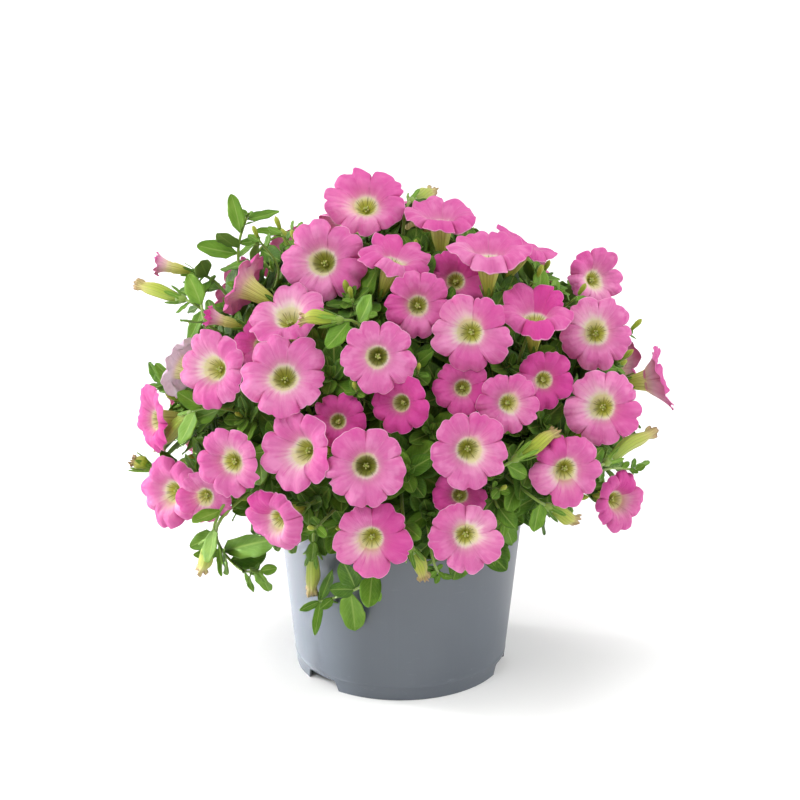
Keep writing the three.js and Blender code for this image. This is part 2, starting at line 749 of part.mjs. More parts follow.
// A flower's stalk, three-sided, which ends in its calyx: the green cup with five pointed sepals.
function stalkBody(stem, row) {
  const path = twigPath(stem, row.root, row.axis, row.sway);
  const frame = bloomFrame(row);
  const inFrame = (points) => points.map((p) => new THREE.Vector3(...p).applyMatrix4(frame));
  const half = Math.PI / lobes;
  const cup = inFrame(ring(lobes, () => calyx.radius, () => -calyx.front));
  const tips = inFrame(ring(lobes, () => calyx.sepalTip, () => -calyx.sepalFront, half));
  const rings = ringsAlong(path, twig, new THREE.Vector3().setFromMatrixColumn(frame, 0));
  rings.push(cup.flatMap((point, index) => [point, tips[index]]));
  const starts = startsOf(rings);
  const faces = [];
  for (let i = 1; i < rings.length - 1; i++) {
    faces.push(...sleeveFaces(starts[i - 1], starts[i], twig.sides));
  }
  faces.push([0, 2, 1]);
  const [back, crown] = starts.slice(-2);
  const count = 2 * lobes;
  const under = (k) => back + (Math.round((k * twig.sides) / count) % twig.sides);
  for (let k = 0; k < count; k++) {
    const next = crown + ((k + 1) % count);
    faces.push([under(k), next, crown + k]);
    if (under(k) !== under(k + 1)) faces.push([under(k), under(k + 1), next]);
  }
  for (let k = 0; k < count; k += 2) faces.push([crown + k, crown + k + 1, crown + ((k + 2) % count)]);
  for (let k = 2; k < count - 2; k += 2) faces.push([crown, crown + k, crown + k + 2]);
  return solid(closedGeometry(rings.flat().map((point) => point.toArray()), faces));
}

// Rings of points round a path, the last of which has its first point towards `lastSide`.
function ringsAlong(path, { radius, sides, steps }, lastSide) {
  const spine = path.getSpacedPoints(steps);
  const { normals, binormals } = path.computeFrenetFrames(steps);
  const start = Math.atan2(lastSide.dot(binormals[steps]), lastSide.dot(normals[steps]));
  return spine.map((point, index) =>
    ring(sides, () => radius, () => 0, start).map(([x, y]) =>
      point.clone().addScaledVector(normals[index], x).addScaledVector(binormals[index], y),
    ),
  );
}

// A spent flower as a bloom would be placed: its calyx at `from`, its tube reaching to `to`.
function spentRow(row, index) {
  const from = placeSeen(row.from, row.layer);
  const to = placeSeen(row.to, row.layer);
  const axis = to.clone().sub(from).normalize();
  const across = flower.across * spentScale;
  const place = from.clone().addScaledVector(axis, calyx.back * spentScale);
  const bloom = bloomAt(place, axis, across, 1, seeds.spent + index);
  return { ...bloom, from, length: to.distanceTo(from), sway: row.sway ?? 0 };
}

function spentTubeBody(row) {
  const start = spentTube.start;
  const frame = frameAt(row.from.clone().addScaledVector(row.axis, start), row.axis, row.spin, 1);
  return solid(spentGeometry(row.length - start).applyMatrix4(frame));
}

// ---- Shoots and leaves ----------------------------------------------------------------------

function shootPath(stem, row) {
  const seen = row.route.map((pixel) => placeSeen(pixel, row.layer));
  const start = forkFor(stem, seen[0]);
  const turn = start.clone().lerp(seen[0], bend.shoot);
  turn.z += bend.shootUp + Math.max(0, rimClear - seen[0].z);
  return new THREE.CatmullRomCurve3([start, turn, ...seen], false, "centripetal");
}

// The point nearest to `place` on the straight steps that a stem along `path` is made of.
function onStem(path, { steps }, place) {
  const spine = path.getSpacedPoints(steps);
  spine.at(-1).lerp(spine.at(-2), 0.1); // not on the stem's very end
  let nearest = spine[0];
  for (let i = 1; i < spine.length; i++) {
    const point = new THREE.Vector3();
    new THREE.Line3(spine[i - 1], spine[i]).closestPointToPoint(place, true, point);
    if (point.distanceTo(place) < nearest.distanceTo(place)) nearest = point;
  }
  return nearest;
}

function shootLeaves(path, row, number) {
  return row.leaves.map(([rootPixel, tipPixel, width], index) => {
    const root = onStem(path, shootTwig, placeSeen(rootPixel, row.layer));
    const tip = placeSeen(tipPixel, row.layer);
    const outward = root.clone().setZ(root.z - mound.middle).normalize();
    const along = tip.clone().sub(root).normalize();
    return {
      root,
      along,
      face: outward.addScaledVector(viewAhead, -1).normalize(),
      length: tip.distanceTo(root),
      half: (0.5 * width * view.distance) / view.focal,
      seed: seeds.shootLeaf[0] + number * seeds.shootLeaf[1] + index * seeds.shootLeaf[2],
    };
  });
}

// Leaves set round a twig or stem: each a golden angle on from the last, leaning outwards.
function leavesAlong(path, wood, places, draw) {
  const start = draw(0, 360);
  return places.map((along, index) => {
    const root = onStem(path, wood, path.getPoint(along));
    const tangent = path.getTangent(along);
    const side = new THREE.Vector3().crossVectors(tangent, upward).normalize();
    const lift = new THREE.Vector3().crossVectors(side, tangent);
    const round = radians(start + index * goldenAngle + draw(-15, 15));
    const across = side.multiplyScalar(Math.cos(round)).addScaledVector(lift, Math.sin(round));
    const height = root.z - mound.middle + leafLean.below;
    const outward = new THREE.Vector3(root.x, root.y, height).normalize();
    const way = across.addScaledVector(tangent, leafLean.along);
    way.addScaledVector(outward, leafLean.outward).normalize();
    const length = draw(...leafLength);
    const half = length * draw(...leafHalf);
    const face = outward.addScaledVector(upward, leafLean.up).normalize();
    return { root, along: way, face, length, half, seed: Math.floor(draw(1, 1e6)) };
  });
}

// ---- The plant ------------------------------------------------------------------------------

const petunia = new THREE.Group();
const pot = potBody();
const soil = soilBody();
petunia.add(meshOf("pot", pot, "pot"), meshOf("soil", soil, "soil"));

const singles = seenBlooms();
const clusters = bloomGroups.map(groupedBlooms);
const corollas = singles.map(corollaBody);
const clusterBodies = clusters.map((members) => joined(members.map(corollaBody)));
singles.forEach((bloom, index) => {
  petunia.add(meshOf(bloom.name, corollas[index], "petal"));
});
clusterBodies.forEach((body, index) => {
  petunia.add(meshOf("bloom_group_" + (index + 1), body, "petal"));
});

// Each stem with what grows on it: first all the wood, then leaves where there is room for them.
const green = stems.map((stem) => ({ stem, body: stemBody(stemPath(stem), mainStem), leaves: [] }));
const greenOf = (place) => green.find(({ stem }) => stem === stemNear(place));

function grow(plant, bodies) {
  plant.body = joined([plant.body, ...bodies]);
}

for (const row of [...singles, ...clusters.flat()]) {
  const plant = greenOf(row.root);
  grow(plant, [stalkBody(plant.stem, row)]);
  const path = twigPath(plant.stem, row.root, row.axis, row.sway);
  const draw = drawsFrom(row.seed + seeds.twigLeaf);
  plant.leaves.push(...leavesAlong(path, twig, twigLeafPlaces, draw));
}
spentFlowers.map(spentRow).forEach((row) => {
  const plant = greenOf(row.from);
  grow(plant, [stalkBody(plant.stem, row), spentTubeBody(row)]);
});
shoots.forEach((row, number) => {
  const plant = greenOf(placeSeen(row.route[0], row.layer));
  const path = shootPath(plant.stem, row);
  grow(plant, [stemBody(path, shootTwig)]);
  plant.leaves.unshift(...shootLeaves(path, row, number));
});
for (const [index, plant] of green.entries()) {
  const path = stemPath(plant.stem);
  const draw = drawsFrom(seeds.stemLeaf + index);
  plant.leaves.push(...leavesAlong(path, mainStem, stemLeafPlaces, draw));
}

// The volume that two solids share.
function common(one, other) {
  const [a, b] = [one.boundingBox(), other.boundingBox()];
  const apart = [0, 1, 2].some((i) => a.min[i] > b.max[i] || b.min[i] > a.max[i]);
  return apart ? 0 : one.intersect(other).volume();
}

// A leaf is left out where it would cross a bloom, the pot, a stem or another leaf.
const hard = [pot, soil, ...corollas, ...clusterBodies];
for (const plant of green) {
  const blades = [];
  for (const row of plant.leaves) {
    const blade = leafBody(row);
    const others = green.filter((other) => other !== plant).map(({ body }) => body);
    const crossed = [...hard, ...others, ...blades].some((body) => common(blade, body) > 0);
    if (crossed || common(blade, plant.body) > leaf.rooted) continue;
    blades.push(blade);
  }
  grow(plant, blades);
}
for (const { stem, body } of green) petunia.add(meshOf(stem.name, body, "green"));

export default petunia;
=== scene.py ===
"""The looks of a petunia in full flower that stands in a plain nursery pot.

Lengths are in millimetres, as in the part's source, and turn into metres when a mesh is made.
The floor is z = 0, the pot's axis is Z, and the photograph's viewer looks along +Y.
"""

import functools
import math

import bpy
import numpy as np
from mathutils.bvhtree import BVHTree
from mathutils.kdtree import KDTree
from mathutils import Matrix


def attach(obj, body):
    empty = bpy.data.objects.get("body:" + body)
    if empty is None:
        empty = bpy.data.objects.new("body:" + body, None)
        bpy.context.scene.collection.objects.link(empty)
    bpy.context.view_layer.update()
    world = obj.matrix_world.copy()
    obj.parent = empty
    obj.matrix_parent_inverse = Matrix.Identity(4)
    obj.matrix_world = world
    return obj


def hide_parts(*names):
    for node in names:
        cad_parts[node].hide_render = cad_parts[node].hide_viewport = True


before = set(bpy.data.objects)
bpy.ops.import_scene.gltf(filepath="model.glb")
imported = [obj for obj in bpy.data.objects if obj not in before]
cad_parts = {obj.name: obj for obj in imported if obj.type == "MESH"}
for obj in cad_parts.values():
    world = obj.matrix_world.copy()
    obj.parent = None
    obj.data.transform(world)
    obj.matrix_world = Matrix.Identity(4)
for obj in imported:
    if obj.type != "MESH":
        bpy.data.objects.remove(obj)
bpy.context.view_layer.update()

MM = 0.001
UP = np.array([0.0, 0.0, 1.0])

# ---- Dimensions shared with the part's source ----------------------------------------------------

POT = {"height": 145, "foot": 79.8, "slope": 0.105, "wall": 1.7, "floor": 9.5, "floor_thick": 2}
LIP = {"proud": 1.6, "tall": 4}
NOTCH = {"tall": 8.5, "half_angle": 12.5, "slant": 3, "corner": 2, "inside": 10, "outside": 6}
NOTCH_TURNS = [-15, -138, 103]
DRAIN = {"count": 5, "radius": 5, "ring": 48}
SOIL_TOP = 130
MOUND = {"middle": 205, "wide": 195, "deep": 182, "tall": 165}
MOUND_SIZE = np.array([MOUND["wide"], MOUND["deep"], MOUND["tall"]])
MOUND_MIDDLE = UP * MOUND["middle"]
LEAVES_MIDDLE = UP * (MOUND["middle"] - 30)  # the point that leaves and shoots grow away from
FLOWER = 58
CALYX_BACK = 45
LEAF = {"fold": 0.07, "droop": 0.12, "wave": 0.05}
LEAF_LENGTH = (25, 36)
GOLDEN_ANGLE = 137.5
RIM_CLEAR = POT["height"] + 25
SPENT_SCALE = 0.8
SPENT_START = 6
LOBES = 5

PICTURE = 800  # pixels across
VIEW = {"distance": 2300, "elevation": 20.7813, "focal": 3067.3, "aim": 210.865}
VIEW_CENTRE = (400.5, 400)
RISE = math.radians(VIEW["elevation"])
VIEW_RIGHT = np.array([1.0, 0.0, 0.0])
VIEW_UP = np.array([0.0, math.sin(RISE), math.cos(RISE)])
VIEW_AHEAD = np.array([0.0, math.cos(RISE), -math.sin(RISE)])
EYE = UP * VIEW["aim"] - VIEW_AHEAD * VIEW["distance"]

# Open blooms: pixel of the middle, layer, (turn, level) that it faces, width.
BLOOMS = [
    ((366, 199), 1.02, (0, 52), 60), ((322, 259), 0.96, (-8, 30), 63), ((398, 254), 0.96, (70, 68), 52),
    ((284, 311), 0.95, (-35, 58), 59), ((240, 283), 0.95, (-115, 22), 50),
    ((162, 265), 1.0, (-95, 12), 36), ((214, 318), 0.97, (-80, 20), 34),
    ((210, 369), 1.02, (-32, 18), 57), ((283, 373), 1.01, (-5, 38), 63),
    ((174, 365), 0.95, (-112, 15), 46), ((147, 420), 1.0, (-60, 10), 52),
    ((258, 343), 0.87, (-25, 30), 40), ((441, 212), 0.99, (0, 87), 53), ((489, 243), 1.06, (5, 87), 59),
    ((527, 240), 0.95, (100, 62), 50), ((456, 279), 0.82, (0, 30), 46), ((418, 304), 0.94, (0, 25), 49),
    ((470, 333), 1.0, (-6, 16), 58), ((378, 357), 1.0, (0, 18), 53), ((536, 308), 1.0, (8, 78), 54),
    ((598, 277), 0.96, (32, 30), 46), ((598, 333), 1.02, (5, 20), 55), ((664, 378), 1.03, (86, 10), 50),
    ((603, 408), 1.02, (-5, 18), 56), ((546, 380), 0.92, (12, 18), 44), ((463, 387), 0.88, (0, 25), 42),
    ((508, 403), 0.98, (0, 20), 44), ((398, 403), 0.91, (-22, 18), 45), ((469, 451), 1.02, (4, 14), 57),
    ((568, 471), 1.02, (10, 12), 55), ((621, 501), 1.0, (38, 10), 46), ((465, 539), 1.02, (-2, 6), 54),
    ((460, 493), 0.88, (0, 35), 40), ((366, 467), 1.02, (0, 18), 58), ((372, 541), 1.0, (0, 8), 56),
    ((296, 450), 0.98, (-40, 18), 60), ((338, 420), 0.9, (0, 28), 40), ((227, 463), 1.02, (-26, 14), 53),
    ((203, 498), 0.95, (-15, 10), 42), ((165, 492), 1.0, (-42, 14), 56), ((270, 523), 1.0, (-44, -4), 50),
]
HALF_OPEN = {6, 7}
CURLED = {3, 13, 14, 15, 20}  # blooms whose edge curls back over a small calyx
# Blooms whose petals are painted a deeper magenta than the rest, partly their own colour and partly painted
# shade of blooms that lie in shade, from 0 to 1, by number.
DEEP_AND_SHADED = {3: 0.1, 5: 0.5, 6: 0.3, 7: 0.85, 11: 0.5, 12: 0.7, 13: 0.25, 15: 0.55, 16: 0.6, 17: 0.3, 20: 0.45,
        25: 0.6, 26: 0.7, 28: 0.9, 30: 0.2, 31: 0.6, 33: 0.85, 35: 0.2, 37: 0.85, 40: 0.2, 41: 0.35}
# A bloom seen from behind that is painted near white: partly the pale back of its petals and partly a
# painted highlight.
PALE_AND_LIT = {10: 1.0}
# Blooms whose throat is painted dark olive rather than lime, partly its own colour and partly painted shade
# deep in the pit, from 0 to 1; 0.1 if not given.
DARK_AND_SHADED = {2: 0.7, 9: 0.5, 12: 0.5, 16: 0.4, 17: 0.5, 19: 1.0, 26: 0.5, 28: 0.6, 29: 0.4, 33: 0.6, 34: 1.0,
        36: 0.3, 37: 0.6}
# How far the pale colour of the throat spreads over the petals, from 0 to 1; 0.3 if not given.
WASH = {1: 0.95, 2: 0.3, 4: 0.6, 8: 0.55, 9: 0.5, 18: 0.8, 19: 0.1, 21: 0.75, 22: 0.8, 24: 0.8, 27: 0.45,
        29: 0.45, 30: 0.75, 31: 0.7, 32: 0.85, 34: 0.15, 35: 0.75, 36: 0.5, 38: 0.65, 40: 0.7, 41: 0.7}
# How the petals of blooms seen from beside stand: their far edge, their near edge and their throat.
BESIDE = {3: (1.5, -7.0, -7.5), 13: (2.5, -7.7, -10.2), 14: (0.5, -9.2, -11.8), 15: (1.0, -7.0, -8.0),
          20: (3.4, -10.2, -8.8), 23: (-1.0, 1.0, -17.0)}
# Groups of the far side: turn, level, layer, roll, count.
GROUPS = [(124, -8, 0.97, 45, 4), (161, -13, 1.01, 60, 3), (-165, -9, 1.01, 0, 3), (-130, -12, 0.98, 40, 4),
          (148, 27, 0.88, 30, 3), (-174, 30, 0.97, 60, 4), (-136, 27, 0.88, 10, 3), (176, 64, 0.89, 20, 3)]
GROUP = {"apart": 51, "spread": 12, "across": 58, "sizes": 2, "jitter": 0.06, "most": 4}
# Spent flowers: from, to, layer, sway.
SPENT = [
    ((186, 300), (138, 284), 0.98, 0), ((193, 412), (160, 448), 0.94, 0), ((410, 202), (432, 191), 0.98, 0),
    ((156, 470), (132, 461), 0.9, 0), ((512, 461), (556, 431), 0.96, 0), ((604, 464), (653, 432), 1.0, 0),
    ((313, 550), (312, 592), 0.84, 0), ((409, 545), (424, 577), 0.88, 0), ((212, 538), (202, 571), 0.98, 0),
    ((344, 320), (301, 319), 1.02, -25), ((545, 505), (575, 521), 0.95, 0),
]
# Leafy shoots: layer, pixels along the shoot, and leaves as (root x, y, tip x, y, width).
SHOOTS = [
    (0.88, [(239, 268), (239, 243), (247, 216)], [
        (240, 234, 229, 195, 14), (247, 216, 278, 208, 10), (247, 216, 262, 195, 6),
        (246, 217, 261, 223, 8), (238, 254, 198, 243, 17), (240, 243, 257, 239, 9),
        (239, 245, 227, 238, 6)]),
    (0.86, [(252, 268), (255, 256), (270, 240), (299, 229)], [
        (257, 252, 276, 256, 16), (288, 232, 256, 228, 9), (290, 231, 274, 249, 9)]),
    (0.94, [(206, 322), (201, 302), (196, 284)], [
        (196, 285, 194, 268, 6), (199, 292, 176, 290, 9), (200, 298, 211, 270, 7), (201, 303, 180, 309, 9),
        (203, 311, 186, 341, 13)]),
    (0.88, [(176, 384), (160, 384)], [(162, 385, 147, 363, 10)]),
    (0.92, [(224, 515), (222, 550), (240, 569), (260, 571)], [
        (222, 552, 194, 557, 10), (223, 549, 263, 547, 22), (258, 571, 229, 571, 10),
        (259, 570, 267, 595, 14), (246, 570, 251, 594, 6), (222, 545, 219, 577, 6)]),
    (0.88, [(372, 572), (350, 592), (317, 602)], [
        (349, 592, 354, 637, 21), (317, 602, 314, 635, 8), (319, 602, 294, 587, 9), (320, 601, 329, 579, 9),
        (340, 596, 327, 581, 9), (354, 588, 343, 567, 18), (350, 592, 366, 601, 8),
        (317, 602, 300, 612, 7)]),
    (0.82, [(432, 556), (440, 576)], [
        (440, 575, 465, 597, 14), (439, 574, 444, 596, 7), (438, 572, 424, 568, 7)]),
    (0.9, [(497, 505), (506, 522)], [
        (504, 517, 515, 548, 13), (505, 520, 544, 515, 12), (500, 511, 502, 552, 9),
        (504, 514, 538, 498, 14), (505, 521, 536, 534, 12)]),
    (0.97, [(588, 472), (612, 468), (636, 470)], [
        (606, 469, 626, 446, 11), (610, 468, 627, 477, 9), (636, 470, 656, 462, 7),
        (635, 470, 653, 476, 6)]),
    (0.92, [(536, 318), (542, 303), (556, 293)], [(542, 304, 533, 281, 9), (554, 295, 560, 276, 8)]),
]
# Green buds seen between the flowers: where, how far out and how long.
SEEN_BUDS = [((535, 281), 0.97, 15), ((356, 391), 0.90, 12), ((577, 297), 0.97, 13), ((629, 332), 0.99, 14),
             ((315, 529), 0.97, 14), ((500, 490), 0.93, 12), ((259, 240), 1.0, 12), ((281, 232), 1.0, 13),
             ((296, 244), 0.98, 12), ((352, 300), 0.93, 13), ((364, 312), 0.93, 12), ((418, 372), 0.90, 11)]
# Stems: name, turn, and whether it goes nearly straight up.
SIDES = ["front", "front_right", "right", "back_right", "back", "back_left", "left", "front_left"]
STEMS = [(name, 45 * k, False) for k, name in enumerate(SIDES)] + [("crown", 180, True)]
CROWN_REACH = 62
ARCHING = [(42, SOIL_TOP - 16), (43, SOIL_TOP + 12), (54, 168), (84, 200), (112, 226)]
UPRIGHT = [(2, SOIL_TOP - 16), (2, SOIL_TOP + 20), (6, 190), (10, 240), (12, 292)]
FORK = {"first": 0.4, "last": 0.96, "arching": (130, 320), "upright": (250, 360)}


# ---- Draws, places and directions ----------------------------------------------------------------

class Draws:
    """The same row of draws for the same seed as in the part's source."""

    def __init__(self, seed):
        self.state = int(seed)

    def __call__(self, low, high):
        self.state = (self.state * 48271) % 2147483647
        return low + (high - low) * self.state / 2147483647


def unit(v):
    return v / np.linalg.norm(v)


def unit_rows(rows):
    return rows / np.linalg.norm(rows, axis=1)[:, None]


def run_along(line):
    """How far each point of a line is from its start."""
    return np.r_[0, np.cumsum(np.linalg.norm(np.diff(line, axis=0), axis=1))]


def heading(turn, level):
    turn, level = math.radians(turn), math.radians(level)
    flat = math.cos(level)
    return np.array([flat * math.sin(turn), -flat * math.cos(turn), math.sin(level)])


def side_and_lift(axis):
    """The two directions across an axis: a level one and one that rises."""
    side = unit(np.cross(UP, axis))
    return side, np.cross(axis, side)


def place_seen(pixel, layer):
    """Where the ray through a pixel first meets a layer of the mound."""
    ray = VIEW_AHEAD + VIEW_RIGHT * (pixel[0] - VIEW_CENTRE[0]) / VIEW["focal"]
    ray = ray + VIEW_UP * (VIEW_CENTRE[1] - pixel[1]) / VIEW["focal"]
    size = MOUND_SIZE * layer
    start, along = (EYE - MOUND_MIDDLE) / size, ray / size
    a, b = along @ along, start @ along
    inside = b * b - a * (start @ start - 1)
    return EYE + ray * (-b - math.sqrt(max(inside, 0))) / a


def place_on_mound(turn, level, layer):
    return heading(turn, level) * (MOUND_SIZE * layer) + MOUND_MIDDLE


class Frame:
    """Axes at a place, with Z along `axis`, turned by `spin` about it."""

    def __init__(self, place, axis, spin=0.0, scale=1.0):
        side, lift = side_and_lift(axis)
        c, s = math.cos(spin), math.sin(spin)
        self.basis = np.array([c * side + s * lift, -s * side + c * lift, axis]) * scale
        self.place = np.asarray(place)

    def points(self, local):
        return np.asarray(local) @ self.basis + self.place


def bezier(points, ts):
    p = [np.asarray(q)[None, :] for q in points]
    t = np.asarray(ts, float)[:, None]
    s = 1 - t
    return s**3 * p[0] + 3 * s * s * t * p[1] + 3 * s * t * t * p[2] + t**3 * p[3]


def catmull(points, ts):
    """A centripetal curve through the points."""
    points = [np.asarray(p, float) for p in points]
    padded = [2 * points[0] - points[1], *points, 2 * points[-1] - points[-2]]
    made = []
    for t in ts:
        along = t * (len(points) - 1)
        k = min(int(along), len(points) - 2)
        w = along - k
        x = padded[k:k + 4]
        d = [max(np.linalg.norm(x[i + 1] - x[i]) ** 0.5, 1e-4) for i in range(3)]
        t1 = (x[1] - x[0]) / d[0] - (x[2] - x[0]) / (d[0] + d[1]) + (x[2] - x[1]) / d[1]
        t2 = (x[2] - x[1]) / d[1] - (x[3] - x[1]) / (d[1] + d[2]) + (x[3] - x[2]) / d[2]
        t1, t2 = t1 * d[1], t2 * d[1]
        c2 = -3 * x[1] + 3 * x[2] - 2 * t1 - t2
        c3 = 2 * x[1] - 2 * x[2] + t1 + t2
        made.append(x[1] + t1 * w + c2 * w * w + c3 * w**3)
    return np.array(made)


def evenly(path, count):
    """`count` + 1 points an equal way apart along a path, which is a function of shares."""
    fine = path(np.linspace(0, 1, 201))
    run = run_along(fine)
    wanted = np.linspace(0, run[-1], count + 1)
    return np.array([np.interp(wanted, run, fine[:, k]) for k in range(3)]).T


def tangent(path, t):
    a, b = path([max(t - 1e-4, 0), min(t + 1e-4, 1)])
    return unit(b - a)


def periodic(values, at):
    """A smooth closed curve through evenly spaced values, read at shares of the round."""
    values = np.asarray(values, float)
    n = len(values)
    x = (at % 1) * n
    k = np.floor(x).astype(int)
    w = x - k
    a, b, c, d = (values[(k + i) % n] for i in (-1, 0, 1, 2))
    return b + 0.5 * w * (c - a + w * (2 * a - 5 * b + 4 * c - d + w * (3 * (b - c) + d - a)))


# ---- Meshes --------------------------------------------------------------------------------------

def round_of(count):
    """Angles an equal way apart round a circle."""
    return 2 * np.pi * np.arange(count) / count


def ring(turn, r, z, shift=0.0):
    """Points round Z at the angles `turn`; the radius and the height may differ from point to point."""
    return np.stack([r * np.cos(turn) + shift, r * np.sin(turn), z * np.ones(len(turn))], 1)


def sleeve(rows, around):
    """Faces between `rows` rings of `around` points, that face out where the rings turn left."""
    faces = []
    for low in range(0, (rows - 1) * around, around):
        for i in range(around):
            k = (i + 1) % around
            faces.append((low + i, low + k, low + around + k, low + around + i))
    return faces


@functools.lru_cache(maxsize=None)
def capped(rows, around, inside_out=False):
    """The faces of a body of rings with a point at each end."""
    faces = sleeve(rows, around)
    first, last, end = rows * around, rows * around + 1, (rows - 1) * around
    for i in range(around):
        k = (i + 1) % around
        faces += [(first, k, i), (last, end + i, end + k)]
    return [face[::-1] for face in faces] if inside_out else faces


def mesh_object(name, points, faces):
    mesh = bpy.data.meshes.new(name)
    mesh.from_pydata((np.asarray(points) * MM).tolist(), [], faces)
    mesh.update()
    made = bpy.data.objects.new(name, mesh)
    bpy.context.scene.collection.objects.link(made)
    return made


def declare(piece, materials, node):
    """Give a piece smooth shading and its materials, hang it from the root body and hide the node that it
    stands for.
    """
    piece.data.polygons.foreach_set("use_smooth", [True] * len(piece.data.polygons))
    for material in materials:
        piece.data.materials.append(material)
    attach(piece, "root")
    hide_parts(node)


STEM, BLADE, WITHERED = 0, 1, 2  # the materials of a foliage piece
STAMEN = 1  # the second material of a petals piece


class Build:
    """Points and faces of one piece, with the numbers that its materials read at each point."""

    def __init__(self):
        self.points, self.faces, self.kinds, self.count = [], [], [], 0
        self.marks = {"place": [], "skin": [], "mood": []}

    def add(self, points, faces, place, skin, kind=0, mood=(0, 0, 0)):
        self.points.append(np.asarray(points, float))
        self.faces += [tuple(i + self.count for i in face) for face in faces]
        self.kinds += [kind] * len(faces)
        for key, values in (("place", place), ("skin", skin), ("mood", mood)):
            self.marks[key].append(np.broadcast_to(np.asarray(values, float), (len(points), 3)))
        self.count += len(points)

    def piece(self, name, materials, slot, node):
        made = mesh_object(name, np.concatenate(self.points), self.faces)
        made.data.polygons.foreach_set("material_index", self.kinds)
        for key, values in self.marks.items():
            attribute = made.data.attributes.new(key, "FLOAT_VECTOR", "POINT")
            attribute.data.foreach_set("vector", np.concatenate(values).astype(np.float32).ravel())
        declare(made, materials, node)


def tube(build, spine, radii, sides, tone, kind=0):
    """A round stem along points, with domed ends."""
    spine = np.asarray(spine, float)
    count = len(spine)
    radii = np.broadcast_to(np.asarray(radii, float), (count,))
    ways = unit_rows(np.gradient(spine, axis=0))
    helper = np.array([1.0, 0, 0]) if abs(ways[0][0]) < 0.8 else np.array([0, 1.0, 0])
    normal = unit(np.cross(ways[0], helper))
    turn = round_of(sides)
    rings = []
    for k in range(count):
        normal = unit(normal - ways[k] * (normal @ ways[k]))
        flat = np.cos(turn)[:, None] * normal + np.sin(turn)[:, None] * np.cross(ways[k], normal)
        rings.append(spine[k] + flat * radii[k])
    ends = [spine[0] - ways[0] * radii[0] * 0.5, spine[-1] + ways[-1] * radii[-1] * 0.6]
    run = run_along(spine)
    coords = [np.stack([np.full(sides, way), np.cos(turn), np.sin(turn)], 1) for way in run]
    coords = np.concatenate([*coords, [[0, 0, 0], [run[-1], 0, 0]]])
    build.add(np.concatenate([*rings, ends]), capped(count, sides), coords, (tone, 0, 0), kind)


@functools.lru_cache(maxsize=None)
def strap_faces(rows, columns):
    """The faces of two sheets of points, joined round their edges."""
    size = rows * columns
    faces = []
    for r in range(rows - 1):
        for c in range(columns - 1):
            a, b = r * columns + c, r * columns + c + 1
            faces.append((a, a + columns, b + columns, b))
            faces.append((size + a, size + b, size + b + columns, size + a + columns))
    border = [r * columns for r in range(rows)]
    border += [(rows - 1) * columns + c for c in range(1, columns)]
    border += [r * columns + columns - 1 for r in range(rows - 2, -1, -1)]
    border += range(columns - 2, 0, -1)
    for a, b in zip(border, border[1:] + border[:1]):
        faces.append((a, size + a, size + b, b))
    return faces


def strap(build, line, sides, ups, widths, lifts, thick, tone):
    """A thin closed blade: a line with its side and up directions, its half widths, and for each row
    how high each of its columns stands, from the left edge to the right."""
    rows, columns = lifts.shape
    share = np.linspace(-1, 1, columns)
    top = (line[:, None, :] + sides[:, None, :] * (widths[:, None] * share)[:, :, None]
           + ups[:, None, :] * lifts[:, :, None])
    under = top - ups[:, None, :] * thick
    place, skin = np.zeros((2, 2, rows, columns, 3))
    place[..., 0] = np.linspace(0, 1, rows)[:, None]
    place[..., 1] = share
    place[..., 2] = tone
    skin[0, ..., 0] = 1
    skin[..., 1] = tone
    points = np.concatenate([top.reshape(-1, 3), under.reshape(-1, 3)])
    build.add(points, strap_faces(rows, columns), place.reshape(-1, 3), skin.reshape(-1, 3), BLADE)


# ---- Flowers -------------------------------------------------------------------------------------

EDGE_LIFT = 0.7 * np.array([-1.6, 1, -0.3, 1])  # at a fold, between, at a notch and between
SCALLOP = 14  # points along half a lobe's edge, closer together at its two ends
AROUND = LOBES * 2 * SCALLOP
STEPS = (1 - np.cos(np.pi * np.arange(SCALLOP) / SCALLOP)) / 2
INLOBE = np.tile(np.concatenate([STEPS / 2, 0.5 + STEPS / 2]), LOBES)
LOBE = np.repeat(np.arange(LOBES), 2 * SCALLOP)
SHARE = (LOBE + INLOBE) / LOBES
TURN = 2 * np.pi * SHARE
HALF = 1 - np.abs(2 * INLOBE - 1)  # 0 at the fold between lobes, 1 at the notch in a lobe's middle
FOLD = np.exp(-((HALF / 0.075) ** 2))
MIDDLE = np.exp(-(((1 - HALF) / 0.075) ** 2))
SIDE_VEIN = np.exp(-(((HALF - 0.5) / 0.12) ** 2))
LOBE_BOW = np.sin(np.pi * INLOBE)  # 0 at a lobe's two ends, 1 in its middle
THROAT = -8.4  # height of the throat's mouth behind the petals' plane
MOUTH = 8.9  # radius of the throat's mouth
# What each lobe's edge draws from, as shares of the flower's reach or of the lobe's width.
EDGE = {"base": (0.66, 0.84), "peak": (0.965, 1.05), "bow": (0.26, 0.40), "notch_at": (0.42, 0.58),
        "notch_wide": (0.04, 0.08), "notch_deep": (0.02, 0.12), "cut_deep": (0.02, 0.075),
        "cut_wide": (0.006, 0.011)}
CUTS = 4  # more cuts anywhere round the edge
# What the petals' stand draws from: how far lobes lean, and how far the edge bends back or cups.
LEAN = {"lobe": (-3.6, 3.0), "odd": (-8.5, 5.0), "second": (-4.5, 4.5), "sway": (-0.9, 0.9),
        "back": (1.4, 4.2), "cup": (0.6, 2.2), "crease": (0.4, 1.5), "rib": (-0.4, 0.8)}
LOBE_SHADE = (-0.4, 0.6)  # how much deeper than the flower's each lobe is painted: a painted shade that differs from lobe to lobe
# Waves round the flower: how many points each is drawn through, and how high it gets.
WAVES = {"broad": (11, 1.5), "ripple": (19, 0.9), "ruffle": (31, 1.6), "pleats": (43, 0.55)}
EDGE_WAVES = ((23, 0.026), (47, 0.021))
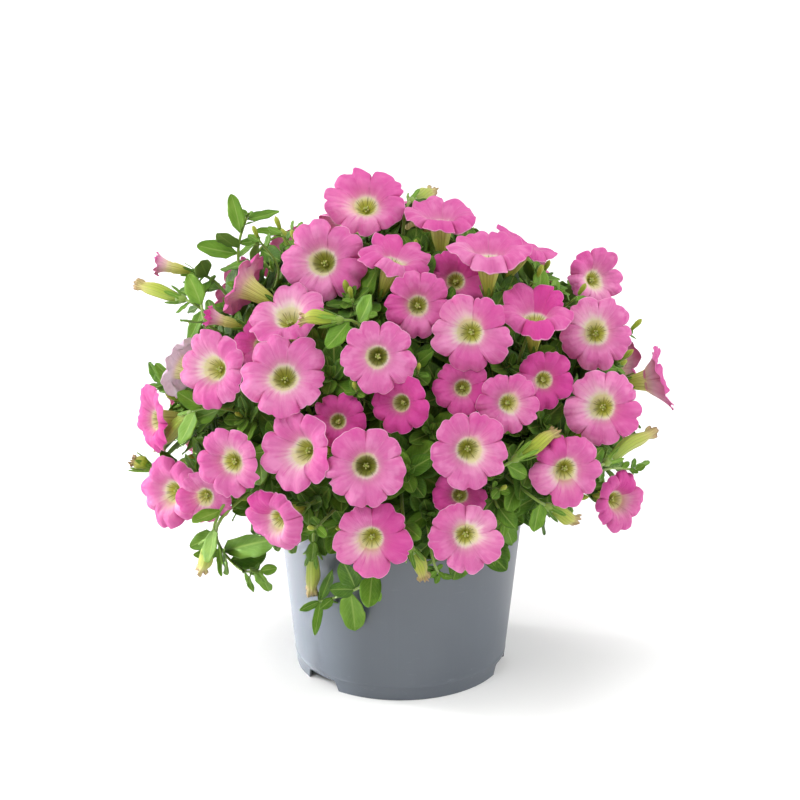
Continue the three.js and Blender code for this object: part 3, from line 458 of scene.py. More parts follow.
# Rings of the flower: the throat's and the tube's as (radius, height), the petals' as shares of the
# way from the mouth to the edge.
PIT = [(1.2, -21.0), (3.0, -19.5), (4.4, -16.5), (5.5, -13.0), (6.5, -9.8), (7.3, -7.4), (8.1, -5.4)]
FACE_RINGS = (0.0, 0.05, 0.11, 0.19, 0.29, 0.40, 0.52, 0.64, 0.75, 0.85, 0.93, 0.975, 1.0)
UNDER_RINGS = (1.0, 0.96, 0.88, 0.74, 0.58, 0.42, 0.27, 0.14)
TUBE_RINGS = [(9.9, -9.6), (9.3, -11.0), (8.8, -12.8), (8.3, -15.2), (7.8, -18.5), (7.1, -22.5),
              (6.2, -26.5), (5.1, -30.0), (4.0, -34.0), (3.2, -39.0)]
COARSE_RINGS = [0, 4, 7, 11, 14, 17, 19, 30, 34, 37]
PETAL = {"thick": 0.28, "plump": 0.5, "blunt": 0.12}
SKINS = []  # a coarse copy of each corolla, which leaves are kept clear of


class Limb:
    """The five joined petals of one flower: where a share of the way from throat to edge is."""

    def __init__(self, row, draw, basis):
        open_ = row["open"]
        several = lambda count, low, high: np.array([draw(low, high) for _ in range(count)])
        lobes = lambda range_: several(LOBES, *range_)
        wave = lambda count, high: periodic(several(count, -high, high), SHARE)
        near = np.where(INLOBE < 0.5, LOBE, (LOBE + 1) % LOBES)
        sway = several(LOBES * 4, *LEAN["sway"])
        self.lift = periodic(np.tile(EDGE_LIFT, LOBES) + sway, SHARE)
        base = lobes(EDGE["base"])[near]
        peak = lobes(EDGE["peak"])[LOBE]
        edge = base + (peak - base) * LOBE_BOW ** draw(*EDGE["bow"])
        middle = (INLOBE - lobes(EDGE["notch_at"])[LOBE]) / lobes(EDGE["notch_wide"])[LOBE]
        edge = edge - lobes(EDGE["notch_deep"])[LOBE] * np.exp(-(middle**2))
        for cut in several(CUTS, 0, 1):
            apart = (SHARE - cut + 0.5) % 1 - 0.5
            edge = edge - draw(*EDGE["cut_deep"]) * np.exp(-((apart / draw(*EDGE["cut_wide"])) ** 2))
        self.edge = edge + wave(*EDGE_WAVES[0]) + wave(*EDGE_WAVES[1])
        self.waves = {name: wave(*made) for name, made in WAVES.items()}
        self.creases = FOLD * lobes(LEAN["crease"])[near] + MIDDLE * lobes(LEAN["rib"])[LOBE]
        # Each lobe's painted shade is added to the flower's tone.
        self.tone = np.clip(row["tone"] + np.maximum(lobes(LOBE_SHADE), 0)[LOBE], 0, 1)
        leans = lobes(LEAN["lobe"])
        for name in ("odd", "second"):  # two petals stand out of line
            leans[int(draw(0, LOBES - 0.001))] += draw(*LEAN[name]) * open_
        self.lean = 0.5 * (periodic(leans, SHARE - 0.1) + leans[LOBE] * LOBE_BOW**0.4)
        self.halves = periodic(several(2 * LOBES, *LEAN["sway"]), SHARE - 0.05)
        self.back = draw(*LEAN["back"]) * open_ * (1 + 0.6 * np.sin(TURN + draw(0, 2 * np.pi)))
        self.cup = draw(*LEAN["cup"]) * open_
        self.reach = FLOWER / 2 * open_
        self.forward = (1 - open_) * FLOWER * 0.4
        self.narrow = 0.4 + 0.6 * open_
        self.beside = BESIDE.get(row["index"] + 1)
        scale = np.linalg.norm(basis[0])
        down, toward = basis @ -UP / scale, basis @ -VIEW_AHEAD / scale
        self.hang = np.maximum(down[0] * np.cos(TURN) + down[1] * np.sin(TURN), 0)
        self.near = np.cos(TURN - math.atan2(toward[1], toward[0]))

    def at(self, f):
        swell = lambda power: math.sin(math.pi * f**power)
        inner = MOUTH * self.narrow
        r = inner + (self.reach * self.edge - inner) * f
        if self.beside:
            far, near, throat = self.beside
            edge = (far + near) / 2 + (near - far) / 2 * self.near
            z = throat * (1 - f) ** 1.4 + edge * f**1.25
            z = z + (1.5 + 4.0 * (0.5 + 0.5 * self.near)) * swell(0.85) * (far + near < -1)
        else:
            z = (THROAT + 0.5) * (1 - f) ** 2.2 + self.forward * f**1.15 + self.cup * swell(0.8)
            z = z - self.back * max(f - 0.45, 0) ** 2 * 3.3 - 4.2 * self.hang * f**2.2
        waves = self.waves
        z = z + (self.lift + self.lean) * f**1.6 + (self.halves + waves["broad"]) * f**1.2
        z = z + waves["ripple"] * swell(1) + waves["ruffle"] * f**3.5
        return r, z - (self.creases + waves["pleats"]) * 1.3 * f**1.3


def corolla(build, row):
    """Five joined petals, each notched in its middle, whose edges are ruffled, on a tube."""
    draw = Draws(row["seed"])
    frame_ = Frame(row["place"], row["axis"], row["spin"], row["across"] / FLOWER)
    limb = Limb(row, draw, frame_.basis)
    tone, pale, wash = row["tone"], row["pale"], row["wash"]
    rings, marks, skins, moods = [], [], [], []
    flat = np.ones(AROUND)

    def put(r, z, s, side, mark):
        rings.append(ring(TURN, r, z))
        marks.append(ring(TURN, mark, s))
        skins.append(np.stack([limb.tone, side * flat, pale * flat], 1))
        moods.append(np.stack([wash * flat, FOLD, MIDDLE], 1))

    deeper = (limb.beside[2] - THROAT - 0.5) if limb.beside else 0.0
    depth = 0.40 + 0.25 * max(-pale, 0)
    for r, z in PIT:
        sunk = THROAT + (z + 5) * depth + deeper * (1 + z / 40)
        put(r * limb.narrow * (1 - 0.06 * FOLD - 0.03 * MIDDLE), sunk, 0.0, 0.0, r)
    for side, shares in enumerate((FACE_RINGS, UNDER_RINGS)):
        for f in shares:
            r, z = limb.at(f)
            in_, low = PETAL["blunt"] * (f == 1.0), PETAL["thick"] + PETAL["plump"] * (1 - f)
            put(r - side * in_, z - side * low, f, side, MOUTH + (FLOWER / 2 - MOUTH) * f)
    for k, (r, z) in enumerate(TUBE_RINGS):
        rib = 1 + 0.045 * np.cos(LOBES * TURN) - 0.03 * SIDE_VEIN
        low = z + deeper * max(1 + z / 25, 0)
        narrow = limb.narrow if k < 3 else 0.5 + 0.5 * limb.narrow
        put(r * narrow * rib, low, -(k + 1) / len(TUBE_RINGS), 1.0, r)
    coarse = np.array(rings)[COARSE_RINGS, ::4]
    SKINS.append(frame_.points(coarse.reshape(-1, 3)).reshape(coarse.shape))
    ends = [[0, 0, THROAT - 16.4 * depth + deeper * 0.46], [0, 0, -39.2]]
    marks.append([[0, 0, 0], [0, 0, -1]])
    skins.append([[tone, 0, pale], [tone, 1, pale]])
    moods.append([[wash, 0, 0]] * 2)
    build.add(frame_.points(np.concatenate([*rings, ends])), capped(len(rings), AROUND, True),
              np.concatenate(marks), np.concatenate(skins), 0, np.concatenate(moods))
    stamens(build, frame_, draw, THROAT - 15.6 * depth + deeper * 0.5, 8.0 * depth)


def stamens(build, frame_, draw, low, height):
    """Five stamens round a pistil, deep in the throat."""
    top = low + height
    for k in range(LOBES):
        turn = 2 * np.pi * (k + 0.5) / LOBES + draw(-0.25, 0.25)
        way = np.array([math.cos(turn), math.sin(turn), 0])
        tip = way * draw(1.3, 2.1) + [0, 0, top + draw(-2.0, 0.6)]
        ends = [way * r + [0, 0, z] for r, z in ((2.0, low), (2.6, low + 0.3 * height), (2.0, top - 2.5))]
        tube(build, frame_.points(bezier([*ends, tip], np.linspace(0, 1, 4))), 0.35, 5, 0.2, STAMEN)
        bead = [tip + [0, 0, z] for z in (-0.8, -0.4, 0.4, 0.7)]
        tube(build, frame_.points(bead), [0.4, 0.85, 0.8, 0.35], 7, 0.9, STAMEN)
    pistil = [[0, 0, z] for z in (low, low + 0.5 * height, top - 0.6, top + 0.3, top + 0.8)]
    tube(build, frame_.points(pistil), [0.4, 0.4, 0.45, 1.2, 0.9], 8, 0.55, STAMEN)


HAIR = {"long": 1.5, "half": 0.07, "sunk": 0.12, "tone": 1.4, "turns": (0, 2.094, 4.188)}


def hairs(build, spine, radii, draw, apart):
    """The short soft hairs that stand off a stem."""
    ways = np.gradient(spine, axis=0)
    gone = run_along(spine)
    read = lambda rows: np.array([np.interp(at, gone, rows[:, i]) for i in range(3)])
    for at in np.arange(apart * draw(0.2, 1), gone[-1], apart):
        root, way = read(spine), unit(read(ways))
        radius = np.interp(at, gone, radii)
        first = unit(np.cross(way, [draw(-1, 1), draw(-1, 1), draw(-1, 1)]))
        second = np.cross(way, first)
        tip = root + first * (radius + HAIR["long"] * draw(0.6, 1.1)) + way * draw(-0.4, 0.6)
        foot = root + first * (radius - HAIR["sunk"])
        base = [foot + HAIR["half"] * (second * math.cos(a) + way * math.sin(a)) for a in HAIR["turns"]]
        faces = [(0, 2, 1), (0, 1, 3), (1, 2, 3), (2, 0, 3)]
        build.add([*base, tip], faces, (at, 0, 0), (HAIR["tone"], 0, 0), STEM)


SEPAL_WIDTHS = np.array([1.2, 1.15, 0.95, 0.98, 1.1, 1.06, 0.75, 0.14])


def calyx(build, frame_, scale, draw, hold, size):
    """The green cup behind a flower, with five narrow sepals."""
    foot = -45.5
    heights = np.array([foot, -44, -41, -37, -33.5])
    cup = frame_.points([[0, 0, foot + (z - foot) * size] for z in heights])
    tube(build, cup, np.array([1.5, 2.9, 4.2, 4.9, 4.9]) * scale * size, 14, draw(0, 1), STEM)
    count = len(SEPAL_WIDTHS)
    lifts = 0.35 * np.linspace(-1, 1, 5)[None, :] ** 2 * np.ones((count, 1)) * scale * size
    for k in range(LOBES):
        turn = 2 * np.pi * (k + 0.5) / LOBES + draw(-0.08, 0.08)
        out = np.array([math.cos(turn), math.sin(turn), 0])
        side = np.array([-math.sin(turn), math.cos(turn), 0])
        spread = draw(-0.6, 1.6) * hold
        tip = (10.2 + spread, -19.0 + draw(-2.5, 1.0))
        bends = [(3.6, -39.5), (7.0, -33.5), (8.6 + 0.4 * spread, -27), tip]
        bends = [out * r * size + [0, 0, foot + (z - foot) * size] for r, z in bends]
        line = bezier(bends, np.linspace(0, 1, count))
        sides = np.tile(side, (count, 1))
        ups = np.cross(sides, unit_rows(np.gradient(line, axis=0)))
        strap(build, frame_.points(line), unit_rows(sides @ frame_.basis), unit_rows(ups @ frame_.basis),
              2.0 * size * SEPAL_WIDTHS * scale, lifts, 0.7 * scale, draw(0, 1))


def closed_roll(build, frame_, rings, coords, low, high, last, draw):
    """A body of rings with a point at each end, in the colours of a closed flower."""
    points = np.concatenate([*rings, [[0, 0, low], [0, 0, high]]])
    coords = np.concatenate([*coords, [[0, 0, 0], [last, 0, 0]]])
    faces = capped(len(rings), len(rings[0]))
    build.add(frame_.points(points), faces, coords, (draw(0, 1), 0, 0), WITHERED)


SPENT_ROWS = [(0.0, 2.6), (0.08, 3.3), (0.2, 4.1), (0.35, 4.7), (0.5, 5.0), (0.64, 4.9), (0.75, 4.3),
              (0.83, 3.5), (0.885, 3.1), (0.94, 3.9), (1.0, 4.4), (0.97, 3.0), (0.92, 1.9), (0.88, 0.8)]
SPENT_MOUTH = range(9, 12)  # the rows round the ragged mouth


def spent_tube(build, row, draw):
    """A flower that has closed: a soft ribbed tube with a withered, ragged mouth."""
    length = row["length"] - SPENT_START
    frame_ = Frame(row["from"] + row["axis"] * SPENT_START, row["axis"], row["spin"])
    turn = round_of(34)
    phase = [draw(0, 6.28) for _ in range(4)]
    bow = draw(-2.4, 2.4)
    rings, coords = [], []
    for k, (along, radius) in enumerate(SPENT_ROWS):
        wrinkle = 0.06 * np.sin(8 * turn + phase[1] + 5 * along) * along
        rib = 1 + 0.09 * np.cos(LOBES * turn + phase[0]) + 0.05 * np.cos(12 * turn + phase[2]) + wrinkle
        ragged = 0.0
        if k in SPENT_MOUTH:
            ragged = 1.8 * np.sin(5 * turn + phase[3]) * np.sin(3 * turn) + np.cos(11 * turn + phase[1])
            rib = rib + 0.22 * np.sin(4 * turn + phase[3]) + 0.14 * np.sin(9 * turn + phase[0])
        shift = bow * math.sin(math.pi * along) + 0.6 * math.sin(9 * along + phase[2])
        rings.append(ring(turn, radius * rib, along * length + ragged, shift))
        share = along if k < SPENT_MOUTH[-1] else 1.0 + 0.1 * (k - SPENT_MOUTH[1])
        coords.append(ring(turn, 1.0, share)[:, [2, 0, 1]])
    closed_roll(build, frame_, rings, coords, -0.3, 0.82 * length, 1.3, draw)


BUD_ROWS = [(0.0, 0.5), (0.1, 0.72), (0.35, 0.85), (0.6, 1.0), (0.78, 0.9), (0.92, 0.55), (1.0, 0.14)]


def bud(build, place, axis, draw, length):
    """A flower that hasn't opened: a slim pointed roll of petals in its small calyx."""
    size = length / 30
    frame_ = Frame(place, axis, draw(0, 6.28))
    whole = Frame(place + axis * 45.5 * size, axis, draw(0, 6.28))
    calyx(build, whole, 1.0, draw, 0.6, size)
    turn = round_of(15)
    rings, coords = [], []
    for along, radius in BUD_ROWS:
        r = radius * 3.4 * size**0.7 * (1 + 0.10 * np.cos(LOBES * turn + 2.2 * along))
        rings.append(ring(turn, r, (0.18 + 0.82 * along) * length))
        coords.append(ring(turn, 1.0, 0.62 * along)[:, [2, 0, 1]])
    closed_roll(build, frame_, rings, coords, 0.16 * length, 1.01 * length, 0.6, draw)


def bloom_at(place, axis, across, index):
    spin = Draws(1000 + index * 37)(0, 2 * math.pi)
    root = place - axis * CALYX_BACK * across / FLOWER
    return {"place": place, "axis": axis, "across": across, "open": 1, "spin": spin, "root": root,
            "seed": 5000 + index * 91, "sway": 0, "calyx": 0.78, "index": index}


def seen_blooms():
    rows = []
    for number, (pixel, layer, faces, across) in enumerate(BLOOMS, 1):
        row = bloom_at(place_seen(pixel, layer), heading(*faces), across, number - 1)
        row.update(tone=DEEP_AND_SHADED.get(number, 0.0), wash=WASH.get(number, 0.3))
        row["pale"] = PALE_AND_LIT.get(number, -DARK_AND_SHADED.get(number, 0.1))
        row["open"] = 0.5 if number in HALF_OPEN else 1
        row["calyx"] = 0.55 if number in CURLED else 0.78
        rows.append(row)
    return rows


def grouped_blooms(number, turn, level, layer, roll, count):
    draw = Draws(300 + number * 17)
    middle, outward = place_on_mound(turn, level, layer), heading(turn, level)
    side, lift = side_and_lift(outward)
    reach = GROUP["apart"] / 2 / math.sin(math.pi / count)
    rows = []
    for i in range(count):
        turned = math.radians(roll) + draw(-GROUP["jitter"], GROUP["jitter"])
        round_ = 2 * math.pi * i / count + turned
        offset = side * math.cos(round_) + lift * math.sin(round_)
        axis = unit(outward + offset * math.tan(math.radians(GROUP["spread"])))
        across = GROUP["across"] + draw(-GROUP["sizes"], GROUP["sizes"])
        index = len(BLOOMS) + number * GROUP["most"] + i
        row = bloom_at(middle + offset * reach, axis, across, index)
        row.update(tone=0.4 * (index % 3 == 0), wash=0.2 + 0.2 * (index % 4), pale=-0.3 * (index % 3))
        rows.append(row)
    return rows


def spent_row(index, start, end, layer, sway):
    start, end = place_seen(start, layer), place_seen(end, layer)
    axis = unit(end - start)
    made = bloom_at(start + axis * CALYX_BACK * SPENT_SCALE, axis, FLOWER * SPENT_SCALE, 200 + index)
    return {**made, "from": start, "length": np.linalg.norm(end - start), "sway": sway}


# ---- Stems, twigs and leaves ---------------------------------------------------------------------

def stem_near(place):
    turn = math.degrees(math.atan2(place[0], -place[1]))
    if math.hypot(place[0], place[1]) < CROWN_REACH and place[2] > MOUND["middle"]:
        return STEMS[8]
    return STEMS[(math.floor(turn / 45 + 0.5) + 8) % 8]


def stem_path(stem):
    way = heading(stem[1], 0)
    points = [way * radius + UP * height for radius, height in (UPRIGHT if stem[2] else ARCHING)]
    return lambda ts: catmull(points, ts)


def fork_for(stem, place):
    lowest, highest = FORK["upright"] if stem[2] else FORK["arching"]
    share = min(max((place[2] - lowest) / (highest - lowest), 0), 1)
    return stem_path(stem)([FORK["first"] + (FORK["last"] - FORK["first"]) * share])[0]


def twig_path(stem, place, axis, sway):
    fork = fork_for(stem, place)
    span = np.linalg.norm(place - fork)
    outward = np.array([place[0] - fork[0], place[1] - fork[1], 0])
    sideways = unit(np.array([-outward[1], outward[0], 0]))
    over_rim = max(0, RIM_CLEAR - place[2])
    first = fork + outward * 0.25 + UP * (span * 0.22 + over_rim * 0.6) + sideways * sway
    second = place - axis * span * 0.32 + sideways * sway * 0.5 + UP * over_rim * 1.3
    return lambda ts: bezier([fork, first, second, place], ts)


def shoot_path(stem, places):
    fork = fork_for(stem, places[0])
    bend = fork + (places[0] - fork) * 0.6 + UP * (8 + max(0, RIM_CLEAR - places[0][2]))
    return lambda ts: catmull([fork, bend, *places], ts)


def on_stem(path, steps, place):
    """The point nearest to `place` on the straight steps of the part's own stem."""
    spine = evenly(path, steps)
    spine[-1] = spine[-1] * 0.9 + spine[-2] * 0.1
    best = None
    for a, b in zip(spine[:-1], spine[1:]):
        t = min(max((place - a) @ (b - a) / ((b - a) @ (b - a)), 0), 1)
        point = a + (b - a) * t
        if best is None or np.linalg.norm(point - place) < np.linalg.norm(best - place):
            best = point
    return best


def shoot_leaves(path, layer, leaves, seed):
    made = []
    for index, (root_x, root_y, tip_x, tip_y, width) in enumerate(leaves):
        root = on_stem(path, 5, place_seen((root_x, root_y), layer))
        tip = place_seen((tip_x, tip_y), layer)
        outward = unit(root - MOUND_MIDDLE)
        made.append({"root": root, "along": unit(tip - root), "face": unit(outward - VIEW_AHEAD),
                     "length": np.linalg.norm(tip - root), "seed": seed + index * 13,
                     "half": 0.57 * width * VIEW["distance"] / VIEW["focal"]})
    return made


def leaves_along(path, steps, places, draw, size=LEAF_LENGTH):
    """Leaves at shares of a path, or with steps at the part's own stem of so many straight steps."""
    start = draw(0, 360)
    made = []
    for index, along in enumerate(places):
        root = path([along])[0]
        if steps:
            root = on_stem(path, steps, root)
        way = tangent(path, along)
        side = unit(np.cross(way, UP))
        lift = np.cross(side, way)
        round_ = math.radians(start + index * GOLDEN_ANGLE + draw(-15, 15))
        across = side * math.cos(round_) + lift * math.sin(round_)
        outward = unit(root - LEAVES_MIDDLE)
        length = draw(*size)
        made.append({"root": root, "along": unit(across + way * 0.5 + outward * 0.35),
                     "face": unit(outward + UP * 0.4), "length": length,
                     "half": length * draw(0.26, 0.33), "seed": math.floor(draw(1, 1e6))})
    return made


def leaf_axes(row):
    across = unit(np.cross(row["face"], row["along"]))
    return across, np.cross(row["along"], across)


def leaf_tip(row):
    return row["root"] + row["along"] * row["length"] - leaf_axes(row)[1] * LEAF["droop"] * row["length"]


LEAF_GRID = {"large": (12, 9), "small": (9, 5)}
SMALL_LEAF = 18
LEAF_THICK = 0.45
WAVE_PLACES = [0, 0.34, 0.72, 1]  # shares of a leaf's length where its edge is waved


def leaf(build, row):
    """An ovate blade, folded along its rib, with waved edges and a short stalk."""
    length = row["length"]
    draw = Draws(row["seed"])
    wave = [draw(-LEAF["wave"], LEAF["wave"]) * length for _ in range(4)]
    across, upper = leaf_axes(row)
    rows, columns = LEAF_GRID["small" if length < SMALL_LEAF else "large"]
    s = np.sin(np.linspace(0, np.pi / 2, rows)) ** 1.1
    t = np.linspace(-1, 1, columns)[None, :]
    shape = (1 - np.abs(2 * s**0.95 - 1) ** 2.1) ** 0.62 * np.clip(s / 0.2, 0.0, 1) ** 1.1
    widths = row["half"] * 1.06 * np.maximum(shape, 0.04)
    line = row["root"] + np.outer(s * length, row["along"]) - np.outer(LEAF["droop"] * length * s**2, upper)
    rib = -LEAF["fold"] * length * 4 * s * (1 - s) * 0.9
    left = np.interp(s, WAVE_PLACES, [0, wave[0], wave[1], 0])[:, None]
    right = np.interp(s, WAVE_PLACES, [0, wave[3], wave[2], 0])[:, None]
    s = s[:, None]
    lifts = rib[:, None] * (1 - np.abs(t) ** 1.2) + np.where(t < 0, left * t**2, right * t**2)
    waves = np.sin(s * 15 + draw(0, 6.28) + 2 * (t > 0))
    vein = np.cos(9 * np.pi * (s - 0.35 * np.abs(t)))
    lifts = lifts + 0.022 * length * t**2 * waves + 0.008 * length * vein * np.sin(np.pi * np.abs(t))
    out = np.linalg.norm((line[rows // 2] - MOUND_MIDDLE) / MOUND_SIZE)
    tone = draw(0, 1) * 0.6 + 1.4 * (min(out, 1.0) - 0.80)  # leaves deep in the plant are painted darker: a painted shade
    strap(build, line, np.tile(across, (rows, 1)), np.tile(upper, (rows, 1)), widths, lifts,
          LEAF_THICK, max(tone, 0.0))


# ---- Materials -----------------------------------------------------------------------------------

def srgb(*levels):
    shares = [level / 255 for level in levels]
    return (*[c / 12.92 if c <= 0.04045 else ((c + 0.055) / 1.055) ** 2.4 for c in shares], 1.0)


class Wire:
    """What a node gives out. Arithmetic on it adds Math nodes to the same material."""

    def __init__(self, shader, socket):
        self.shader, self.socket = shader, socket

    def to(self, operation, *others):
        return self.shader.node("Math", [self, *others], operation=operation)

    __add__ = functools.partialmethod(to, "ADD")
    __sub__ = functools.partialmethod(to, "SUBTRACT")
    __mul__ = functools.partialmethod(to, "MULTIPLY")
    __truediv__ = functools.partialmethod(to, "DIVIDE")

    def sine_size(self):
        return self.to("SINE").to("ABSOLUTE")

    def band(self, low, high):
        """0 at low and 1 at high, with a smooth step between them."""
        return self.shader.node("MapRange", [self, low, high, 0.0, 1.0], interpolation_type="SMOOTHSTEP")

    def parts(self):
        made = self.shader.node("SeparateXYZ", [self]).socket.node
        return [Wire(self.shader, socket) for socket in made.outputs]


class Shader:
    """A material's nodes, made by short calls."""

    def __init__(self, name, roughness, specular, sheen=0.0):
        self.material = bpy.data.materials.new(name)
        self.material.use_nodes = True
        self.tree = self.material.node_tree
        self.surface = self.tree.nodes["Principled BSDF"]
        self.surface.inputs["Roughness"].default_value = roughness
        self.surface.inputs["Specular IOR Level"].default_value = specular
        self.surface.inputs["Sheen Weight"].default_value = sheen

    def feed(self, socket, value):
        if isinstance(value, Wire):
            self.tree.links.new(value.socket, socket)
        else:
            socket.default_value = value

    def node(self, kind, inputs=(), output=0, **settings):
        """A node's output, once its settings and its inputs, a row or named ones, are given."""
        node = self.tree.nodes.new("ShaderNode" + kind)
        for key, value in settings.items():
            setattr(node, key, value)
        for key, value in inputs.items() if isinstance(inputs, dict) else enumerate(inputs):
            self.feed(node.inputs[key], value)
        return Wire(self, node.outputs[output])

    def attribute(self, name):
        return self.node("Attribute", output="Vector", attribute_name=name).parts()

    def coords(self):
        return self.node("TexCoord", output="Object")

    def vector(self, *values):
        return self.node("CombineXYZ", values)

    def ramp(self, value, *stops):
        made = self.node("ValToRGB", [value])
        elements = made.socket.node.color_ramp.elements
        while len(elements) < len(stops):
            elements.new(0.5)
        for element, (place, *color) in zip(elements, stops):
            element.position, element.color = place, srgb(*color)
        return made

    def noise(self, vector, scale, detail=3.0, roughness=0.5):
        inputs = {"Vector": vector, "Scale": scale, "Detail": detail, "Roughness": roughness}
        return self.node("TexNoise", inputs)

    def mix(self, share, a, b):
        return self.node("Mix", {0: share, 6: a, 7: b}, 2, data_type="RGBA")

    def paint(self, color, *layers):
        """The colour under layers of (share, colour), from the lowest to the top one."""
        for share, *over in layers:
            color = self.mix(share, color, srgb(*over))
        return color

    def finish(self, color, height=None, strength=0.0, distance=0.0, through=0.0):
        """The surface's colour and bumps, with a share of light that comes through it."""
        self.feed(self.surface.inputs["Base Color"], color)
        if height:
            bump = self.node("Bump", {"Height": height, "Strength": strength, "Distance": distance})
            self.feed(self.surface.inputs["Normal"], bump)
        if through:
            glow = self.node("BsdfTranslucent", {"Color": color})
            both = self.node("MixShader", [through, Wire(self, self.surface.outputs[0]), glow])
            self.feed(self.tree.nodes["Material Output"].inputs["Surface"], both)
        return self.material


def petal_face(shader, place, skin, mood, radius, round_, streak):
    """The colours of the side that the flower shows, and how deep its colour is painted, partly its own and
    partly painted shade.
    """
    (cx, cy), (tone, _, kind), (wash, fold, middle) = round_, skin, mood
    wide = shader.noise(shader.vector(cx * 1.3, cy * 1.3, wash * 30.0), 1.0, 2.0)
    # One side of each bloom, turned by its wash, is painted as the lit side: its throat wall gets a painted
    # highlight, and the pale wash reaches further there.
    lean = wash * 97.0
    lit = (cx * lean.to("COSINE") + cy * lean.to("SINE")).band(-0.5, 0.8)
    beyond = (radius - 6.4).to("MAXIMUM", 0.0)
    star = (radius * 1.25).to("MINIMUM", 8.0) + beyond / (wash * (lit * 1.1 + 0.1) * 2.4 + 0.82)
    star = star + (wide * 2.2 - 1.1) + (streak * 3.0 - 1.5)
    out, lined, vein = radius.band(10.0, 16.0), radius.band(2.5, 5.0), streak.band(0.50, 0.72)
    spot = shader.vector(cx * radius, cy * radius, wash * 50.0 + tone * 9.0)
    # Deep magenta outside the throat: partly the flower's own colour, partly painted shade of shaded blooms
    # and lobes.
    deep = tone * 0.80 * radius.band(7.2, 9.5)
    face = shader.ramp(
        star / 29.0,
        (0.00, 184, 184, 58), (0.10, 192, 194, 68), (0.19, 202, 204, 90), (0.25, 216, 216, 124),
        (0.28, 238, 234, 176), (0.32, 246, 238, 216), (0.36, 244, 212, 220), (0.40, 233, 166, 199),
        (0.48, 226, 138, 188), (0.60, 222, 123, 181), (1.00, 219, 113, 176))
    return deep, shader.paint(
        face,
        # Painted highlight: cream on the lit side of the throat.
        (lit * radius.band(2.0, 7.5) * radius.band(10.5, 9.0) * 0.65, 232, 226, 172),
        (vein * out * 0.40, 208, 84, 162),
        (streak.band(0.46, 0.30) * out * 0.40, 242, 166, 210),
        (shader.noise(spot, 0.09, 2.0).band(0.46, 0.68) * out * 0.50, 242, 164, 210),
        (shader.noise(spot, 0.13).band(0.50, 0.70) * radius.band(14.0, 26.0) * 0.50, 210, 76, 160),
        (middle * radius.band(12.0, 17.0) * 0.14, 204, 84, 156),
        (fold * radius.band(11.0, 15.0) * radius.band(27.0, 19.0) * 0.30, 240, 164, 206),
        # The deep colour, partly painted shade.
        (deep, 214, 56, 156),
        # Dark-eyed blooms: a darker olive in the throat, partly its own colour and partly painted shade
        # deep in the pit.
        (radius.band(8.4, 6.0) * (kind * -1.0).to("MAXIMUM", 0.0) * 0.75, 122, 130, 38),
        (fold * radius.band(9.0, 7.0) * lined * 0.75, 98, 94, 26),
        (middle * radius.band(8.0, 6.0) * lined * 0.60, 106, 102, 30),
        (streak.band(0.54, 0.64) * radius.band(8.8, 6.6) * 0.60, 120, 114, 34),
        # Painted highlight: a pale rim along parts of the petals' edge.
        (place[2].band(0.965, 0.995) * wide.band(0.35, 0.6) * 0.75, 250, 204, 228),
        # The pale bloom painted near white: partly its own pale colour and partly a painted highlight.
        (kind.to("MAXIMUM", 0.0) * 0.75, 244, 230, 242),
    )


def petal_material():
    shader = Shader("petunia_petal", 0.62, 0.20, 0.10)
    place, skin, mood = (shader.attribute(name) for name in ("place", "skin", "mood"))
    x, y, s = place
    radius = (x * x + y * y).to("SQRT")
    cx, cy = (side / radius.to("MAXIMUM", 0.01) for side in (x, y))
    streak_place = shader.vector(cx * 9.0, cy * 9.0, radius * 0.045)
    streak = shader.noise(streak_place, 1.0, 4.0, 0.6)
    deep, face = petal_face(shader, place, skin, mood, radius, (cx, cy), streak)
    along = s * 0.5 + 0.5
    vein = streak.band(0.50, 0.72)
    ribs = (y.to("ARCTAN2", x) * 9.0).sine_size().band(0.55, 0.10)
    under = shader.ramp(
        along,
        (0.00, 172, 186, 66), (0.14, 204, 208, 96), (0.34, 234, 230, 148), (0.50, 244, 238, 186),
        (0.57, 240, 222, 200), (0.70, 240, 204, 216), (0.87, 236, 170, 204), (1.00, 228, 136, 188))
    under = shader.paint(
        under,
        (ribs * along.band(0.62, 0.45) * 0.40, 156, 148, 60),
        (vein * along.band(0.5, 0.6) * 0.25, 186, 92, 140),
        (vein * along.band(0.55, 0.45) * 0.45, 140, 126, 44),
        # The deep colour on the back too, partly painted shade.
        (deep * 0.5 * along.band(0.6, 0.9), 200, 84, 148),
        # The pale bloom's back painted near white: partly its pale back and partly a painted highlight.
        (skin[2].to("MAXIMUM", 0.0) * along.band(0.5, 0.65), 250, 240, 248),
    )
    pucker = shader.noise(shader.vector(cx * radius, cy * radius, 0.0), 0.32)
    height = streak + shader.noise(streak_place, 3.0) * 0.35 + pucker * 0.8
    return shader.finish(shader.mix(skin[1], face, under), height, 0.7, 0.0014, 0.34)


